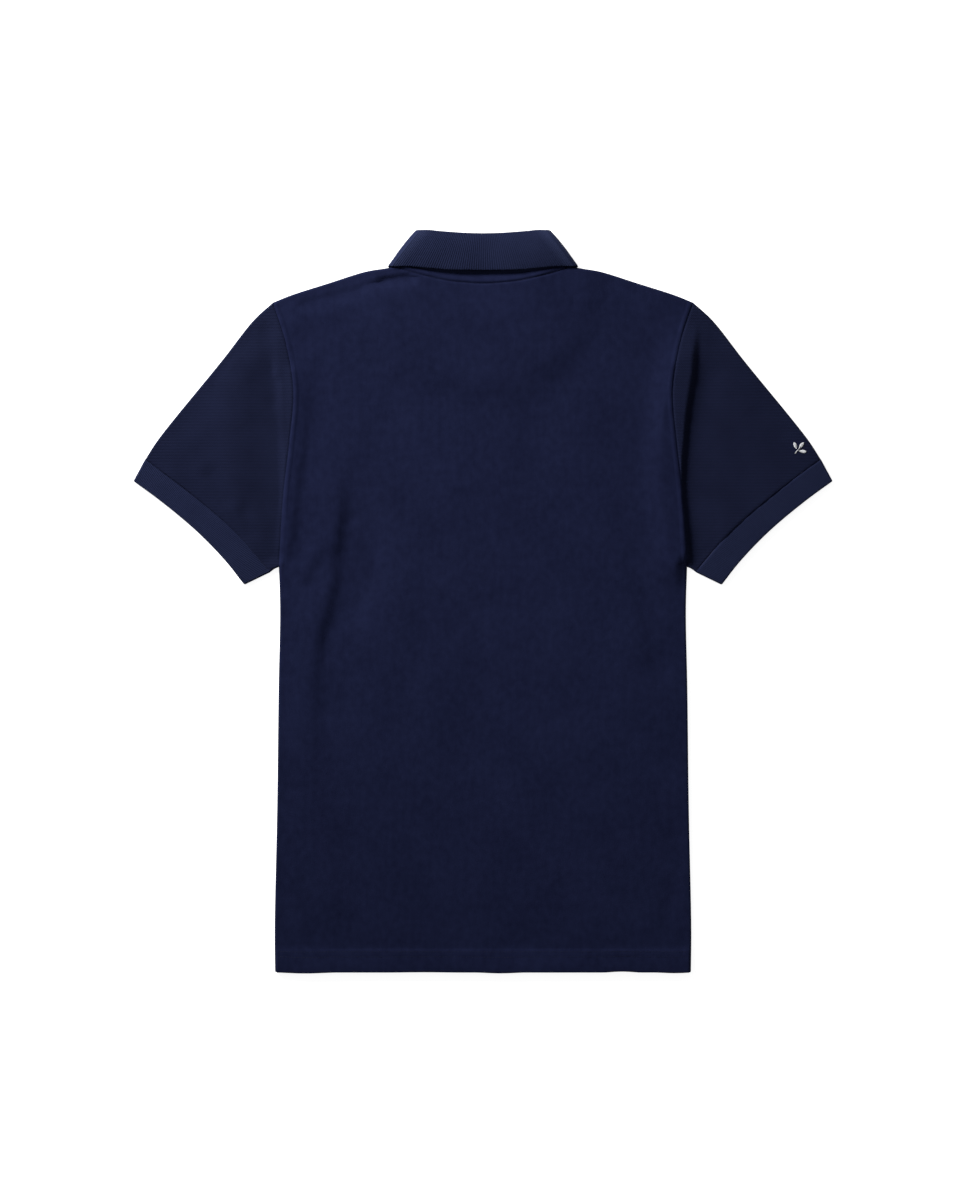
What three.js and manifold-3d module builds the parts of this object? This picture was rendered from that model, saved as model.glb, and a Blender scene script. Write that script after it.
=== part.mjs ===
import * as THREE from 'three';
import Module from 'manifold-3d';
import { mergeVertices } from 'three/addons/utils/BufferGeometryUtils.js';

// Short-sleeved polo shirt laid flat on its front, with its back up
// Millimetres. +X is to the right seen from above, +Y towards the collar, +Z up from the surface
// The back and front panels are a flattened tube whose folded edges are the sides and shoulders

// Cloth
const clothWall = 1.4;         // knitted cloth of the body and sleeves
const ribWall = 1.8;           // flat-knit rib of the collar and cuffs
const seamGap = 0.3;           // clearance left between two sewn pieces
const edgeHeight = 4.8;        // height of a folded edge, outside to outside
const hemDepth = 20.6;         // turned-up hem
const hemExtra = 0.6;          // second layer inside the hem

// Placket and buttons, on the underside
const placket = { width: 30, length: 160, underWidth: 27, underLength: 158, cornerCut: 0.8 };
const button = {
  diameter: 11.5, thickness: 2.2, rim: 1.6, dish: 0.5, hole: 1.5, holePitch: 2.6,
  clear: 0.3, faceRound: 0.3, backRound: 0.5, sides: 24,
};
const buttonDrop = [11, 59, 107];        // below the neckline at the front

// Levels above the surface
const frontLevel = 2.8;        // underside of the front panel where it lies over the collar points
const collarMid = 5.2;         // mid height of the folded collar
const neckSagDepth = 2.8;      // back neck sinking into the open front neck
const neckMiddle = 345;        // how far up the middle of the neck opening lies
const neckSagReach = 60;       // how far the sinking reaches from there
const collarOval = { x: 104, y: 118, outside: 1.32 };    // raised patch over the collar points
const placketRamp = { from: 6, to: 40 };                 // raised patch over the placket

// Outlines of the right half, seen from above; the left half mirrors them
const sideOutline = [
  { x: 211.2, y: -377.9 },
  { x: 211.6, y: -335.6 },
  { x: 209.1, y: -213.2 },
  { x: 207.6, y: -90.8 },
  { x: 206.0, y: -10.0 },
  { x: 207.6, y: 34.7 },
];
const armholeSeam = [
  { x: 207.6, y: 34.7 },
  { x: 203.6, y: 108.0 },
  { x: 197.4, y: 163.2 },
  { x: 193.5, y: 215.0 },
  { x: 201.6, y: 264.2 },
  { x: 213.5, y: 303.4 },
];
const shoulderOutline = [
  { x: 213.5, y: 303.4 },
  { x: 196.0, y: 311.1 },
  { x: 159.0, y: 323.3 },
  { x: 120.4, y: 335.4 },
  { x: 97.0, y: 339.5 },
  { x: 84.0, y: 342.8 },
];
const overarmOutline = [
  { x: 213.5, y: 303.4 },
  { x: 233.1, y: 286.6 },
  { x: 265.7, y: 245.8 },
  { x: 331.5, y: 164.2 },
  { x: 344.3, y: 144.2 },
];
const underarmOutline = [
  { x: 207.6, y: 34.7 },
  { x: 212.6, y: 33.0 },
  { x: 217.3, y: 29.8 },
];
const cuffSeam = [
  { x: 344.3, y: 144.2 },
  { x: 297.4, y: 109.1 },
  { x: 253.7, y: 71.4 },
  { x: 217.3, y: 29.8 },
];
const cuffEdge = [
  { x: 355.6, y: 122.9 },
  { x: 327.9, y: 103.0 },
  { x: 291.2, y: 72.4 },
  { x: 261.6, y: 41.8 },
  { x: 243.3, y: 17.8 },
];

// Collar strip of the right half: neckline seam, roll line and free edge at each station
const collarBack = [
  { seamX: 0, seamY: 333.7, rollX: 0, rollY: 372.1, edgeX: 0, edgeY: 337.6 },
  { seamX: 20, seamY: 334.1, rollX: 16, rollY: 372.4, edgeX: 19, edgeY: 337.6 },
  { seamX: 38, seamY: 335.4, rollX: 31, rollY: 373.2, edgeX: 37, edgeY: 337.8 },
  { seamX: 56, seamY: 338.0, rollX: 45, rollY: 374.3, edgeX: 56, edgeY: 339.4 },
  { seamX: 71, seamY: 341.0, rollX: 57, rollY: 375.3, edgeX: 75, edgeY: 341.2 },
];
const collarTurn = { seamX: 82, seamY: 343.4, rollX: 66.4, rollY: 373.7, edgeX: 94.2, edgeY: 338.4 };
const collarFront = [
  { seamX: 78, seamY: 320, rollX: 62, rollY: 352, edgeX: 88, edgeY: 306 },
  { seamX: 66, seamY: 298, rollX: 52, rollY: 328, edgeX: 78, edgeY: 280 },
  { seamX: 48, seamY: 280, rollX: 38, rollY: 309, edgeX: 68, edgeY: 262 },
  { seamX: 26, seamY: 268, rollX: 20, rollY: 295, edgeX: 56, edgeY: 248 },
  { seamX: 1.5, seamY: 263.3, rollX: 1.5, rollY: 290, edgeX: 42, edgeY: 238 },
];
const collarOutward = new THREE.Vector2(0.793, 0.609);   // across the slanted side fold
const collarHollow = 0.8;      // half the space inside the folded stand
const leafSpace = 0.8;         // between stand and leaf
const leafLift = 1.6;          // free edge of the leaf standing off the back neck
const leafLiftReach = 90;      // half the length over which it stands off

// Largest folds of the upper layer: a path, the distance it reaches to either side, and its rise
const folds = [
  { path: [[-54, 261], [-95, 215], [-131, 164]], reach: 24, rise: -0.7 },
  { path: [[-131, 164], [-144, 93], [-149, 32], [-161, -14], [-171, -73], [-171, -160]], reach: 26, rise: -1.3 },
  { path: [[-104, 150], [-118, 60], [-130, -20], [-140, -110]], reach: 30, rise: 1.6 },
  { path: [[-186, -30], [-192, -110]], reach: 20, rise: 1.1 },
  { path: [[-47, -1], [-80, -50], [-90, -101], [-90, -121]], reach: 24, rise: -0.8 },
  { path: [[150, 42], [167, -9], [175, -70]], reach: 26, rise: -1.0 },
  { path: [[182, 230], [168, 83]], reach: 24, rise: 1.5 },
  { path: [[213, 280], [208, 185], [206, 123], [212, 50]], reach: 17, rise: -1.3 },
  { path: [[236, 262], [232, 180], [228, 90]], reach: 24, rise: 1.8 },
  { path: [[-196, 200], [-201, 120], [-204, 60]], reach: 15, rise: 1.4 },
  { path: [[-215, 210], [-219, 123], [-216, 50]], reach: 16, rise: -1.2 },
  { path: [[-245, 240], [-252, 160], [-250, 120]], reach: 26, rise: 1.5 },
  { path: [[-141, -244], [-136, -320]], reach: 28, rise: -0.8 },
  { path: [[-185, -290], [-172, -350]], reach: 20, rise: 0.9 },
  { path: [[30, -200], [20, -300]], reach: 45, rise: 0.9 },
  { path: [[70, 150], [85, 20], [80, -120]], reach: 48, rise: 0.9 },
];

const foldLimits = { deepest: -1.5, highest: 2.0 };
const calmEdge = 14;           // folds die out this close to a folded edge
const calmSide = 208;          // half width of the body that the folds are measured from
const calmShoulder = { top: 364, slope: 0.29 };          // the shoulders' folded edge, as a straight line
const shoulderAcross = { x: 0.24, y: 0.97 };             // square to the shoulders' folded edge
const neckSlope = 0.2;         // fall of the shoulder's end as it turns into the neckline
const cuffAcross = { x: 0.62, y: -0.78 };                // square to the cuff seam

// Grids: how many columns and rows each stretch of a piece is divided into
const rollAngles = [0, 30, 60, 90];
const grid = {
  shoulderColumns: 5, backSideRows: 14, frontSideRows: 5,
  armholeRows: 9, sleeveRings: 7, cuffRings: 2, standSteps: 3, leafSteps: 4, turnSteps: 6,
};

// Small helpers
const radians = (degrees) => THREE.MathUtils.degToRad(degrees);
const mix = (a, b, t) => a + (b - a) * t;
const bump = (s) => (s < 1 ? (1 - s * s) ** 2 : 0);
const fade = (distance, start, end) => 1 - THREE.MathUtils.smoothstep(distance, start, end);
const even = (count) => Array.from({ length: count - 1 }, (_, k) => (k + 1) / count);

function curveThrough(rows) {
  const points = rows.map((row) => new THREE.Vector3(row.x, row.y, 0));
  const curve = new THREE.CatmullRomCurve3(points, false, 'centripetal');
  curve.arcLengthDivisions = 400;
  return curve;
}

function distanceToPath(x, y, path) {
  let nearest = Infinity;
  for (let k = 0; k < path.length - 1; k += 1) {
    const [ax, ay] = path[k];
    const [bx, by] = path[k + 1];
    const along = ((x - ax) * (bx - ax) + (y - ay) * (by - ay)) / ((bx - ax) ** 2 + (by - ay) ** 2);
    const t = THREE.MathUtils.clamp(along, 0, 1);
    nearest = Math.min(nearest, Math.hypot(x - mix(ax, bx, t), y - mix(ay, by, t)));
  }
  return nearest;
}

// Height of the underside of the lower layer: it lies over the collar points, placket and buttons
function lowerLevel(x, y) {
  const fromNeck = Math.hypot(x / collarOval.x, (y - neckMiddle) / collarOval.y);
  const collarZone = fade(fromNeck, 1, collarOval.outside);
  const beside = Math.max(0, Math.abs(x) - placket.width / 2);
  const below = Math.max(0, collarFront[4].seamY - placket.length - y);
  const placketZone = fade(Math.hypot(beside, below), placketRamp.from, placketRamp.to);
  return frontLevel * Math.max(collarZone, placketZone);
}

// Rise and fall of the upper layer over the plain height of the folded edges
function foldRelief(x, y) {
  const rises = folds.map((fold) => fold.rise * bump(distanceToPath(x, y, fold.path) / fold.reach));
  const total = rises.reduce((sum, rise) => sum + rise, 0);
  return THREE.MathUtils.clamp(total, foldLimits.deepest, foldLimits.highest);
}

function neckSag(x, y) {
  return neckSagDepth * bump(Math.abs(x) / neckSagReach) * bump(Math.abs(y - neckMiddle) / neckSagReach);
}

// A closed wall between an outer and an inner grid of points; wrapped grids close on themselves
function wallGeometry(rows, wrapped = false) {
  const columnCount = rows[0].length;
  const positions = [];
  for (const side of ['outer', 'inner']) {
    rows.forEach((row) => row.forEach((node) => positions.push(...node[side].toArray())));
  }
  const layer = rows.length * columnCount;
  const at = (side, row, column) => side * layer + row * columnCount + (column % columnCount);
  const faces = [];
  const quad = (a, b, c, d) => faces.push(a, b, c, a, c, d);
  const spans = wrapped ? columnCount : columnCount - 1;
  for (let j = 0; j < rows.length - 1; j += 1) {
    for (let i = 0; i < spans; i += 1) {
      quad(at(0, j, i), at(0, j, i + 1), at(0, j + 1, i + 1), at(0, j + 1, i));
      quad(at(1, j, i), at(1, j + 1, i), at(1, j + 1, i + 1), at(1, j, i + 1));
    }
  }
  const last = rows.length - 1;
  for (let i = 0; i < spans; i += 1) {
    quad(at(0, 0, i), at(1, 0, i), at(1, 0, i + 1), at(0, 0, i + 1));
    quad(at(0, last, i), at(0, last, i + 1), at(1, last, i + 1), at(1, last, i));
  }
  if (!wrapped) {
    for (let j = 0; j < last; j += 1) {
      quad(at(0, j, 0), at(0, j + 1, 0), at(1, j + 1, 0), at(1, j, 0));
      quad(at(0, j, spans), at(1, j, spans), at(1, j + 1, spans), at(0, j + 1, spans));
    }
  }
  return facingOut(positions, faces);
}

// Builds the geometry with its faces turned outwards
function facingOut(positions, faces) {
  const corner = (k) => new THREE.Vector3().fromArray(positions, 3 * k);
  let volume = 0;
  for (let f = 0; f < faces.length; f += 3) {
    volume += corner(faces[f]).dot(corner(faces[f + 1]).cross(corner(faces[f + 2])));
  }
  const geometry = new THREE.BufferGeometry();
  geometry.setAttribute('position', new THREE.Float32BufferAttribute(positions, 3));
  geometry.setIndex(volume < 0 ? faces.reverse() : faces);
  geometry.computeVertexNormals();
  return geometry;
}

// One node of cloth: its middle point, the direction its outer face looks, and its half walls
function clothNode(middle, facing, outerHalf, innerHalf) {
  const outer = middle.clone().addScaledVector(facing, outerHalf);
  const inner = middle.clone().addScaledVector(facing, -innerHalf);
  return { outer, inner };
}

// Distances, from a folded edge, of the middle points of its quarter turn
const rollRadius = edgeHeight / 2 - clothWall / 2;
const rollSteps = rollAngles.map((angle) => rollRadius * (1 - Math.cos(radians(angle))));
const rollLift = rollAngles.map((angle) => Math.sin(radians(angle)));

// Points along a panel's right edge, from the hem up the side fold and the armhole
const halfWall = clothWall / 2;
const sideCurve = curveThrough(sideOutline.map((row) => ({ x: row.x - halfWall, y: row.y })));
const armholeCurve = curveThrough(armholeSeam);
const armholeLength = armholeCurve.getLength();

// Fractions of the armhole from underarm to shoulder tip, with the two quarter turns at its ends
function armholeFractions() {
  const inset = rollSteps.map((step) => (step + halfWall) / armholeLength);
  const middle = even(grid.armholeRows + 1).map((t) => mix(inset[3], 1 - inset[3], t));
  return [...inset, ...middle, ...inset.map((t) => 1 - t).reverse()];
}

function panelEdge(sideRows) {
  const length = sideCurve.getLength();
  const hemRows = [0, hemDepth / length, (hemDepth + 1.5) / length];
  const plainRows = even(sideRows + 1).map((t) => mix(hemRows[2], 1, t));
  const side = [...hemRows, ...plainRows, 1].map((t) => {
    const point = sideCurve.getPointAt(t);
    return { x: point.x, y: point.y, hem: t <= hemRows[1], folded: true, lift: 0 };
  });
  const fractions = armholeFractions();
  const armhole = fractions.slice(1).map((t, k) => {
    const point = armholeCurve.getPointAt(t);
    const lift = k < 3 ? rollLift[k + 1] : 1;
    return { x: point.x - seamGap / 2, y: point.y, hem: false, folded: false, lift };
  });
  return [...side, ...armhole];
}

// Points along a panel's top edge, from the shoulder tip to the middle of the neckline
function panelTop(neckline) {
  const lowered = shoulderOutline.map((row) => ({ x: row.x, y: row.y - halfWall }));
  lowered[0].x -= seamGap / 2;
  const shoulder = curveThrough(lowered);
  const length = shoulder.getLength();
  const across = [...rollSteps.map((step) => step / length), ...even(grid.shoulderColumns + 1), 1];
  const rows = across.map((t) => {
    const point = shoulder.getPointAt(t);
    return { x: point.x, y: point.y, folded: true, lift: 0 };
  });
  const end = rows[rows.length - 1];
  rollSteps.slice(1).forEach((step, k) => {
    rows.push({ x: end.x - step, y: end.y - neckSlope * step, folded: false, lift: rollLift[k + 1] });
  });
  neckline.forEach((row) => {
    const up = new THREE.Vector2(row.rollX - row.seamX, row.rollY - row.seamY).setLength(seamGap);
    rows.push({ x: row.seamX - up.x, y: row.seamY - up.y, folded: false, lift: 1 });
  });
  return rows;
}

// Fills a panel between its hem, its two edges and its top, by blending opposite edges
function panelNodes({ top, edge, upper }) {
  const half = top.length - 1;
  const hemHalf = edge[0].x;
  const hemY = edge[0].y;
  const topRow = [...top.map((row) => ({ ...row, x: -row.x })), ...top.slice(0, half).reverse()];
  const tip = top[0];
  const share = topRow.map((row) => (row.x + tip.x) / (2 * tip.x));
  const rise = edge.map((row) => (row.y - hemY) / (tip.y - hemY));
  return edge.map((row, j) => topRow.map((above, i) => {
    const u = share[i];
    const v = rise[j];
    const hemX = mix(-hemHalf, hemHalf, u);
    const straightX = mix(hemX, above.x, v);
    const edgeX = mix(-row.x, row.x, u) - mix(mix(-hemHalf, hemHalf, u), mix(-tip.x, tip.x, u), v);
    const x = straightX + edgeX;
    const y = mix(hemY, above.y, v) + row.y - mix(hemY, tip.y, v);
    const column = Math.min(i, topRow.length - 1 - i);
    return panelNode({ x, y, row, above, column, fromTop: edge.length - 1 - j, upper });
  }));
}

function panelNode({ x, y, row, above, column, fromTop, upper }) {
  const columnLift = column < 4 ? rollLift[column] : 1;
  const rowLift = fromTop < 4 ? rollLift[fromTop] : 1;
  const sideLift = row.folded ? columnLift : Math.max(columnLift, row.lift);
  const topLift = above.folded ? rowLift : Math.max(rowLift, above.lift);
  const lift = Math.min(sideLift, topLift);
  const lower = lowerLevel(x, y);
  const middle = lower + edgeHeight / 2;
  const inland = THREE.MathUtils.smoothstep(edgeDistance(x, y), 0, calmEdge);
  const relief = upper ? foldRelief(x, y) * inland - neckSag(x, y) : 0;
  const turn = rollRadius - seamGap / 2;
  const level = middle + (upper ? 1 : -1) * (seamGap / 2 + turn * lift) + (lift === 1 ? relief : 0);
  const outwards = new THREE.Vector3(0, 0, upper ? 1 : -1);
  if (lift < 1) {
    const sideways = Math.sqrt(1 - lift * lift);
    const overTop = topLift < sideLift;
    const flat = new THREE.Vector3(Math.sign(x), 0, 0);
    if (overTop) {
      flat.set(Math.sign(x) * shoulderAcross.x, shoulderAcross.y, 0);
    } else if (!row.folded && column === 0) {
      flat.set(0, -1, 0);
    }
    outwards.multiplyScalar(lift).addScaledVector(flat, sideways);
  }
  const innerHalf = row.hem ? halfWall + hemExtra : halfWall;
  return clothNode(new THREE.Vector3(x, y, level), outwards, halfWall, innerHalf);
}

// Rough distance from the folded sides and shoulders, which stay plain
function edgeDistance(x, y) {
  const side = y < armholeSeam[0].y ? calmSide - Math.abs(x) : calmEdge;
  const shoulder = calmShoulder.top - calmShoulder.slope * Math.abs(x) - y;
  return Math.max(0, Math.min(side, shoulder));
}

// A flattened ring tube between two seams, with folded edges at overarm and underarm
function tubeNodes({ start, end, over, under, rings, wall, side, fractions, startClearance }) {
  const rows = [];
  for (let r = 0; r <= rings; r += 1) {
    const w = r / rings;
    const overPoint = over.getPointAt(w);
    const underPoint = under.getPointAt(w);
    const chain = fractions.map((t) => {
      const blend = start.getPointAt(t).lerp(end.getPointAt(t), w);
      const edges = overPoint.clone().lerp(underPoint, t);
      const firstCorner = start.getPointAt(0).lerp(end.getPointAt(0), w);
      const lastCorner = start.getPointAt(1).lerp(end.getPointAt(1), w);
      const point = blend.add(edges).sub(firstCorner.lerp(lastCorner, t));
      point.x += startClearance * (1 - w);
      return point;
    });
    rows.push(ringNodes(chain, wall, side));
  }
  return rows;
}

function ringNodes(chain, wall, side) {
  const count = chain.length;
  const radius = edgeHeight / 2 - wall / 2;
  const direction = chain[count - 1].clone().sub(chain[0]).normalize();
  const node = (k, upper) => {
    const fromStart = k < 4 ? rollLift[k] : 1;
    const fromEnd = count - 1 - k < 4 ? rollLift[count - 1 - k] : 1;
    const lift = Math.min(fromStart, fromEnd);
    const sign = upper ? 1 : -1;
    const { x, y } = chain[k];
    const fromMiddle = Math.abs((2 * k) / (count - 1) - 1);
    const relief = upper && lift === 1 ? foldRelief(side * x, y) * bump(0.9 * fromMiddle ** 4) : 0;
    const point = new THREE.Vector3(side * x, y, edgeHeight / 2 + sign * radius * lift + relief);
    const flat = fromStart < fromEnd ? direction.clone().negate() : direction.clone();
    flat.x *= side;
    const outwards = new THREE.Vector3(0, 0, sign * lift).addScaledVector(flat, Math.sqrt(1 - lift * lift));
    return clothNode(point, outwards, wall / 2, wall / 2);
  };
  const upper = chain.map((_, k) => node(k, true));
  const lower = chain.map((_, k) => node(k, false)).slice(1, count - 1).reverse();
  return [...upper, ...lower];
}

// Collar: one strip, up the stand, over the roll and down the leaf, carried round the neck
function collarPath({ seam, roll, edge, turn, lift, sideSign }) {
  const half = ribWall / 2;
  const rollHalf = (ribWall + leafSpace) / 2;
  const up = roll.clone().sub(seam).normalize();
  const outward = new THREE.Vector3(sideSign * collarOutward.x, collarOutward.y, 0);
  const away = outward.multiplyScalar(Math.sin(turn)).setZ(Math.cos(turn));
  const place = (flat, offset, rise) => {
    const point = new THREE.Vector3(flat.x, flat.y, collarMid + rise);
    return point.addScaledVector(away, offset);
  };
  const nodes = [];
  for (let k = 0; k < grid.standSteps; k += 1) {
    const flat = seam.clone().lerp(roll, k / grid.standSteps);
    nodes.push(clothNode(place(flat, collarHollow + half, 0), away.clone().negate(), half, half));
  }
  for (const angle of [0, 45, 90, 135, 180].map(radians)) {
    const flat = roll.clone().addScaledVector(up, rollHalf * Math.sin(angle));
    const offset = collarHollow + half + rollHalf * (1 - Math.cos(angle));
    const facing = away.clone().multiplyScalar(-Math.cos(angle));
    facing.addScaledVector(new THREE.Vector3(up.x, up.y, 0), Math.sin(angle));
    nodes.push(clothNode(place(flat, offset, 0), facing, half, half));
  }
  for (let k = 1; k <= grid.leafSteps; k += 1) {
    const t = k / grid.leafSteps;
    const flat = roll.clone().lerp(edge, t);
    const offset = collarHollow + half + 2 * rollHalf;
    nodes.push(clothNode(place(flat, offset, lift * t * t), away.clone(), half, half));
  }
  return nodes;
}

function collarNodes() {
  const flatPoint = (x, y, sideSign) => new THREE.Vector2(sideSign * x, y);
  const station = (row, turn, lift, sideSign) => {
    const nodes = collarPath({
      seam: flatPoint(row.seamX, row.seamY, sideSign),
      roll: flatPoint(row.rollX, row.rollY, sideSign),
      edge: flatPoint(row.edgeX, row.edgeY, sideSign),
      turn, lift, sideSign,
    });
    const upper = Math.cos(turn) > 0.99;
    nodes.forEach((node) => [node.outer, node.inner].forEach((point) => {
      point.z -= upper ? neckSag(point.x, point.y) : 0;
    }));
    return nodes;
  };
  const turns = Array.from({ length: grid.turnSteps + 1 }, (_, k) => (Math.PI * k) / grid.turnSteps);
  const halfCollar = (sideSign) => [
    ...collarBack.map((row) => station(row, 0, leafLift * bump(row.seamX / leafLiftReach), sideSign)),
    ...turns.map((turn) => station(collarTurn, turn, 0, sideSign)),
    ...collarFront.map((row) => station(row, Math.PI, 0, sideSign)),
  ];
  const right = halfCollar(1);
  const left = halfCollar(-1).slice(1).reverse();
  return [...left, ...right];
}

// Solids that are cut or joined
const wasm = await Module();
wasm.setup();

function bareMerged(geometry) {
  const bare = geometry.clone();
  bare.deleteAttribute('normal');
  bare.deleteAttribute('uv');
  return mergeVertices(bare, 1e-4);
}

function toSolid(geometry) {
  const merged = bareMerged(geometry);
  const mesh = new wasm.Mesh({
    numProp: 3,
    vertProperties: new Float32Array(merged.attributes.position.array),
    triVerts: new Uint32Array(merged.index.array),
  });
  return new wasm.Manifold(mesh);
}

function toGeometry(solid) {
  const mesh = solid.getMesh();
  const geometry = new THREE.BufferGeometry();
  geometry.setAttribute('position', new THREE.Float32BufferAttribute(mesh.vertProperties, 3));
  geometry.setIndex(Array.from(mesh.triVerts));
  geometry.computeVertexNormals();
  return geometry;
}

function backPanel() {
  const top = panelTop([...collarBack].reverse());
  return wallGeometry(panelNodes({ top, edge: panelEdge(grid.backSideRows), upper: true }));
}

// The front panel is cut away for the placket
function frontPanel() {
  const middle = { ...collarFront[4], seamX: 0, rollX: 0 };
  const top = panelTop([...collarFront.slice(0, 4), middle]);
  const whole = wallGeometry(panelNodes({ top, edge: panelEdge(grid.frontSideRows), upper: false }));
  const spare = 40;
  const cut = new THREE.BoxGeometry(placket.width, placket.length + spare, spare);
  cut.translate(0, collarFront[4].seamY - placket.length / 2 + spare / 2, 0);
  return toGeometry(toSolid(whole).subtract(toSolid(cut)));
}

function sleeve(side) {
  const fractions = armholeFractions().map((t) => 1 - t).reverse();
  return wallGeometry(tubeNodes({
    start: curveThrough([...armholeSeam].reverse()),
    end: curveThrough(cuffSeam),
    over: curveThrough(overarmOutline),
    under: curveThrough(underarmOutline),
    rings: grid.sleeveRings,
    wall: clothWall,
    side,
    fractions,
    startClearance: seamGap / 2,
  }), true);
}

function cuff(side) {
  const fractions = armholeFractions().map((t) => 1 - t).reverse();
  const seamStart = cuffSeam[0];
  const seamEnd = cuffSeam[cuffSeam.length - 1];
  const edgeStart = cuffEdge[0];
  const edgeEnd = cuffEdge[cuffEdge.length - 1];
  const shift = { x: seamGap * cuffAcross.x, y: seamGap * cuffAcross.y };
  const moved = cuffSeam.map((row) => ({ x: row.x + shift.x, y: row.y + shift.y }));
  return wallGeometry(tubeNodes({
    start: curveThrough(moved),
    end: curveThrough(cuffEdge),
    over: curveThrough([{ x: seamStart.x + shift.x, y: seamStart.y + shift.y }, edgeStart]),
    under: curveThrough([{ x: seamEnd.x + shift.x, y: seamEnd.y + shift.y }, edgeEnd]),
    rings: grid.cuffRings,
    wall: ribWall,
    side,
    fractions,
    startClearance: 0,
  }), true);
}

// Placket bands: flat strips with their lower corners cut
function band(width, length, level) {
  const half = width / 2;
  const cut = placket.cornerCut;
  const topY = collarFront[4].seamY - seamGap;
  const bottomY = collarFront[4].seamY - length + seamGap;
  const outline = new THREE.Shape();
  outline.moveTo(-half, topY);
  outline.lineTo(-half, bottomY + cut);
  outline.lineTo(-half + cut, bottomY);
  outline.lineTo(half - cut, bottomY);
  outline.lineTo(half, bottomY + cut);
  outline.lineTo(half, topY);
  const geometry = new THREE.ExtrudeGeometry(outline, { depth: clothWall, bevelEnabled: false });
  geometry.translate(0, 0, level);
  return geometry;
}

// Button: a rimmed disc with four holes, its face down
function buttonGeometry(y) {
  const radius = button.diameter / 2;
  const face = button.clear;
  const profile = [
    [0, face + button.dish],
    [radius - button.rim, face + button.dish],
    [radius - button.rim / 2, face],
    [radius - button.faceRound, face + button.faceRound],
    [radius, face + button.thickness / 2],
    [radius - button.backRound, face + button.thickness],
    [0, face + button.thickness],
  ].map(([r, z]) => new THREE.Vector2(r, z));
  const disc = new THREE.LatheGeometry(profile, button.sides);
  disc.rotateX(Math.PI / 2);
  const merged = bareMerged(disc);
  let solid = toSolid(facingOut([...merged.attributes.position.array], Array.from(merged.index.array)));
  for (const [sx, sy] of [[1, 1], [1, -1], [-1, 1], [-1, -1]]) {
    const hole = new THREE.CylinderGeometry(button.hole / 2, button.hole / 2, 10, 10);
    hole.rotateX(Math.PI / 2);
    hole.translate((sx * button.holePitch) / 2, (sy * button.holePitch) / 2, 0);
    solid = solid.subtract(toSolid(hole));
  }
  const geometry = toGeometry(solid);
  geometry.translate(0, y, 0);
  return geometry;
}

// Materials
const navyCloth = { color: 0x1b1f38, roughness: 0.95, metalness: 0 };
const sleeveCloth = { color: 0x1c2036, roughness: 0.95, metalness: 0 };
const navyRib = { color: 0x23283f, roughness: 0.97, metalness: 0 };
const buttonPlastic = { color: 0x20243a, roughness: 0.35, metalness: 0 };

const group = new THREE.Group();

function addPiece(name, geometry, finish) {
  const mesh = new THREE.Mesh(geometry, new THREE.MeshStandardMaterial(finish));
  mesh.name = name;
  group.add(mesh);
}

addPiece('back_panel', backPanel(), navyCloth);
addPiece('front_panel', frontPanel(), navyCloth);
addPiece('sleeve_left', sleeve(-1), sleeveCloth);
addPiece('sleeve_right', sleeve(1), sleeveCloth);
addPiece('cuff_left', cuff(-1), navyRib);
addPiece('cuff_right', cuff(1), navyRib);
addPiece('collar', wallGeometry(collarNodes()), navyRib);
addPiece('placket_upper', band(placket.width - 2 * seamGap, placket.length, frontLevel), navyCloth);
const underLevel = frontLevel + clothWall + seamGap;
addPiece('placket_lower', band(placket.underWidth, placket.underLength, underLevel), navyCloth);
buttonDrop.forEach((drop, k) => {
  addPiece(`button_${k + 1}`, buttonGeometry(collarFront[4].seamY - drop), buttonPlastic);
});

export default group;
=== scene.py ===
import math
import bpy
import numpy as np
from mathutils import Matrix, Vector


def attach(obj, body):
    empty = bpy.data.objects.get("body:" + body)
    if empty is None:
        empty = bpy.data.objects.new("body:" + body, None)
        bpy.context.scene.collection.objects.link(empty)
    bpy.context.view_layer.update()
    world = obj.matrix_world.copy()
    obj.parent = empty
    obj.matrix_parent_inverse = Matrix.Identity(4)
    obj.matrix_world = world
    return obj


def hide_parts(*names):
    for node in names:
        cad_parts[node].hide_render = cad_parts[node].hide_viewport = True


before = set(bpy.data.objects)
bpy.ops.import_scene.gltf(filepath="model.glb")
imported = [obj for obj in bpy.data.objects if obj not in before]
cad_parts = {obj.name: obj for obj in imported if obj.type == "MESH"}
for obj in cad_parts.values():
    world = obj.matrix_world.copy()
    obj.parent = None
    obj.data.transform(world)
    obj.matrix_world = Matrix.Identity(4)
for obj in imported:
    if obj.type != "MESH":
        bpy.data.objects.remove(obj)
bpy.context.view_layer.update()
mm = 0.001

# The photo looks straight down on the shirt, so one pixel is the same size all over it
photo = {
    "widthPx": 967, "heightPx": 1200, "mmPerPx": 1.02, "zeroPx": (483.0, 601.0), "lens": 100.0, "sensor": 36.0,
    "shownLevel": 6 * mm,
}


def addObject(name, data):
    made = bpy.data.objects.new(name, data)
    bpy.context.collection.objects.link(made)
    return made


def makeCamera():
    camera = addObject("camera", bpy.data.cameras.new("camera"))
    tall = photo["heightPx"] * photo["mmPerPx"] * mm
    camera.data.lens = photo["lens"]
    camera.data.sensor_width = photo["sensor"]
    camera.location = (
        (photo["widthPx"] / 2 - photo["zeroPx"][0]) * photo["mmPerPx"] * mm,
        (photo["zeroPx"][1] - photo["heightPx"] / 2) * photo["mmPerPx"] * mm,
        tall * photo["lens"] / photo["sensor"] + photo["shownLevel"],
    )
    bpy.context.scene.camera = camera


makeCamera()
print("camera ready")


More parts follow.
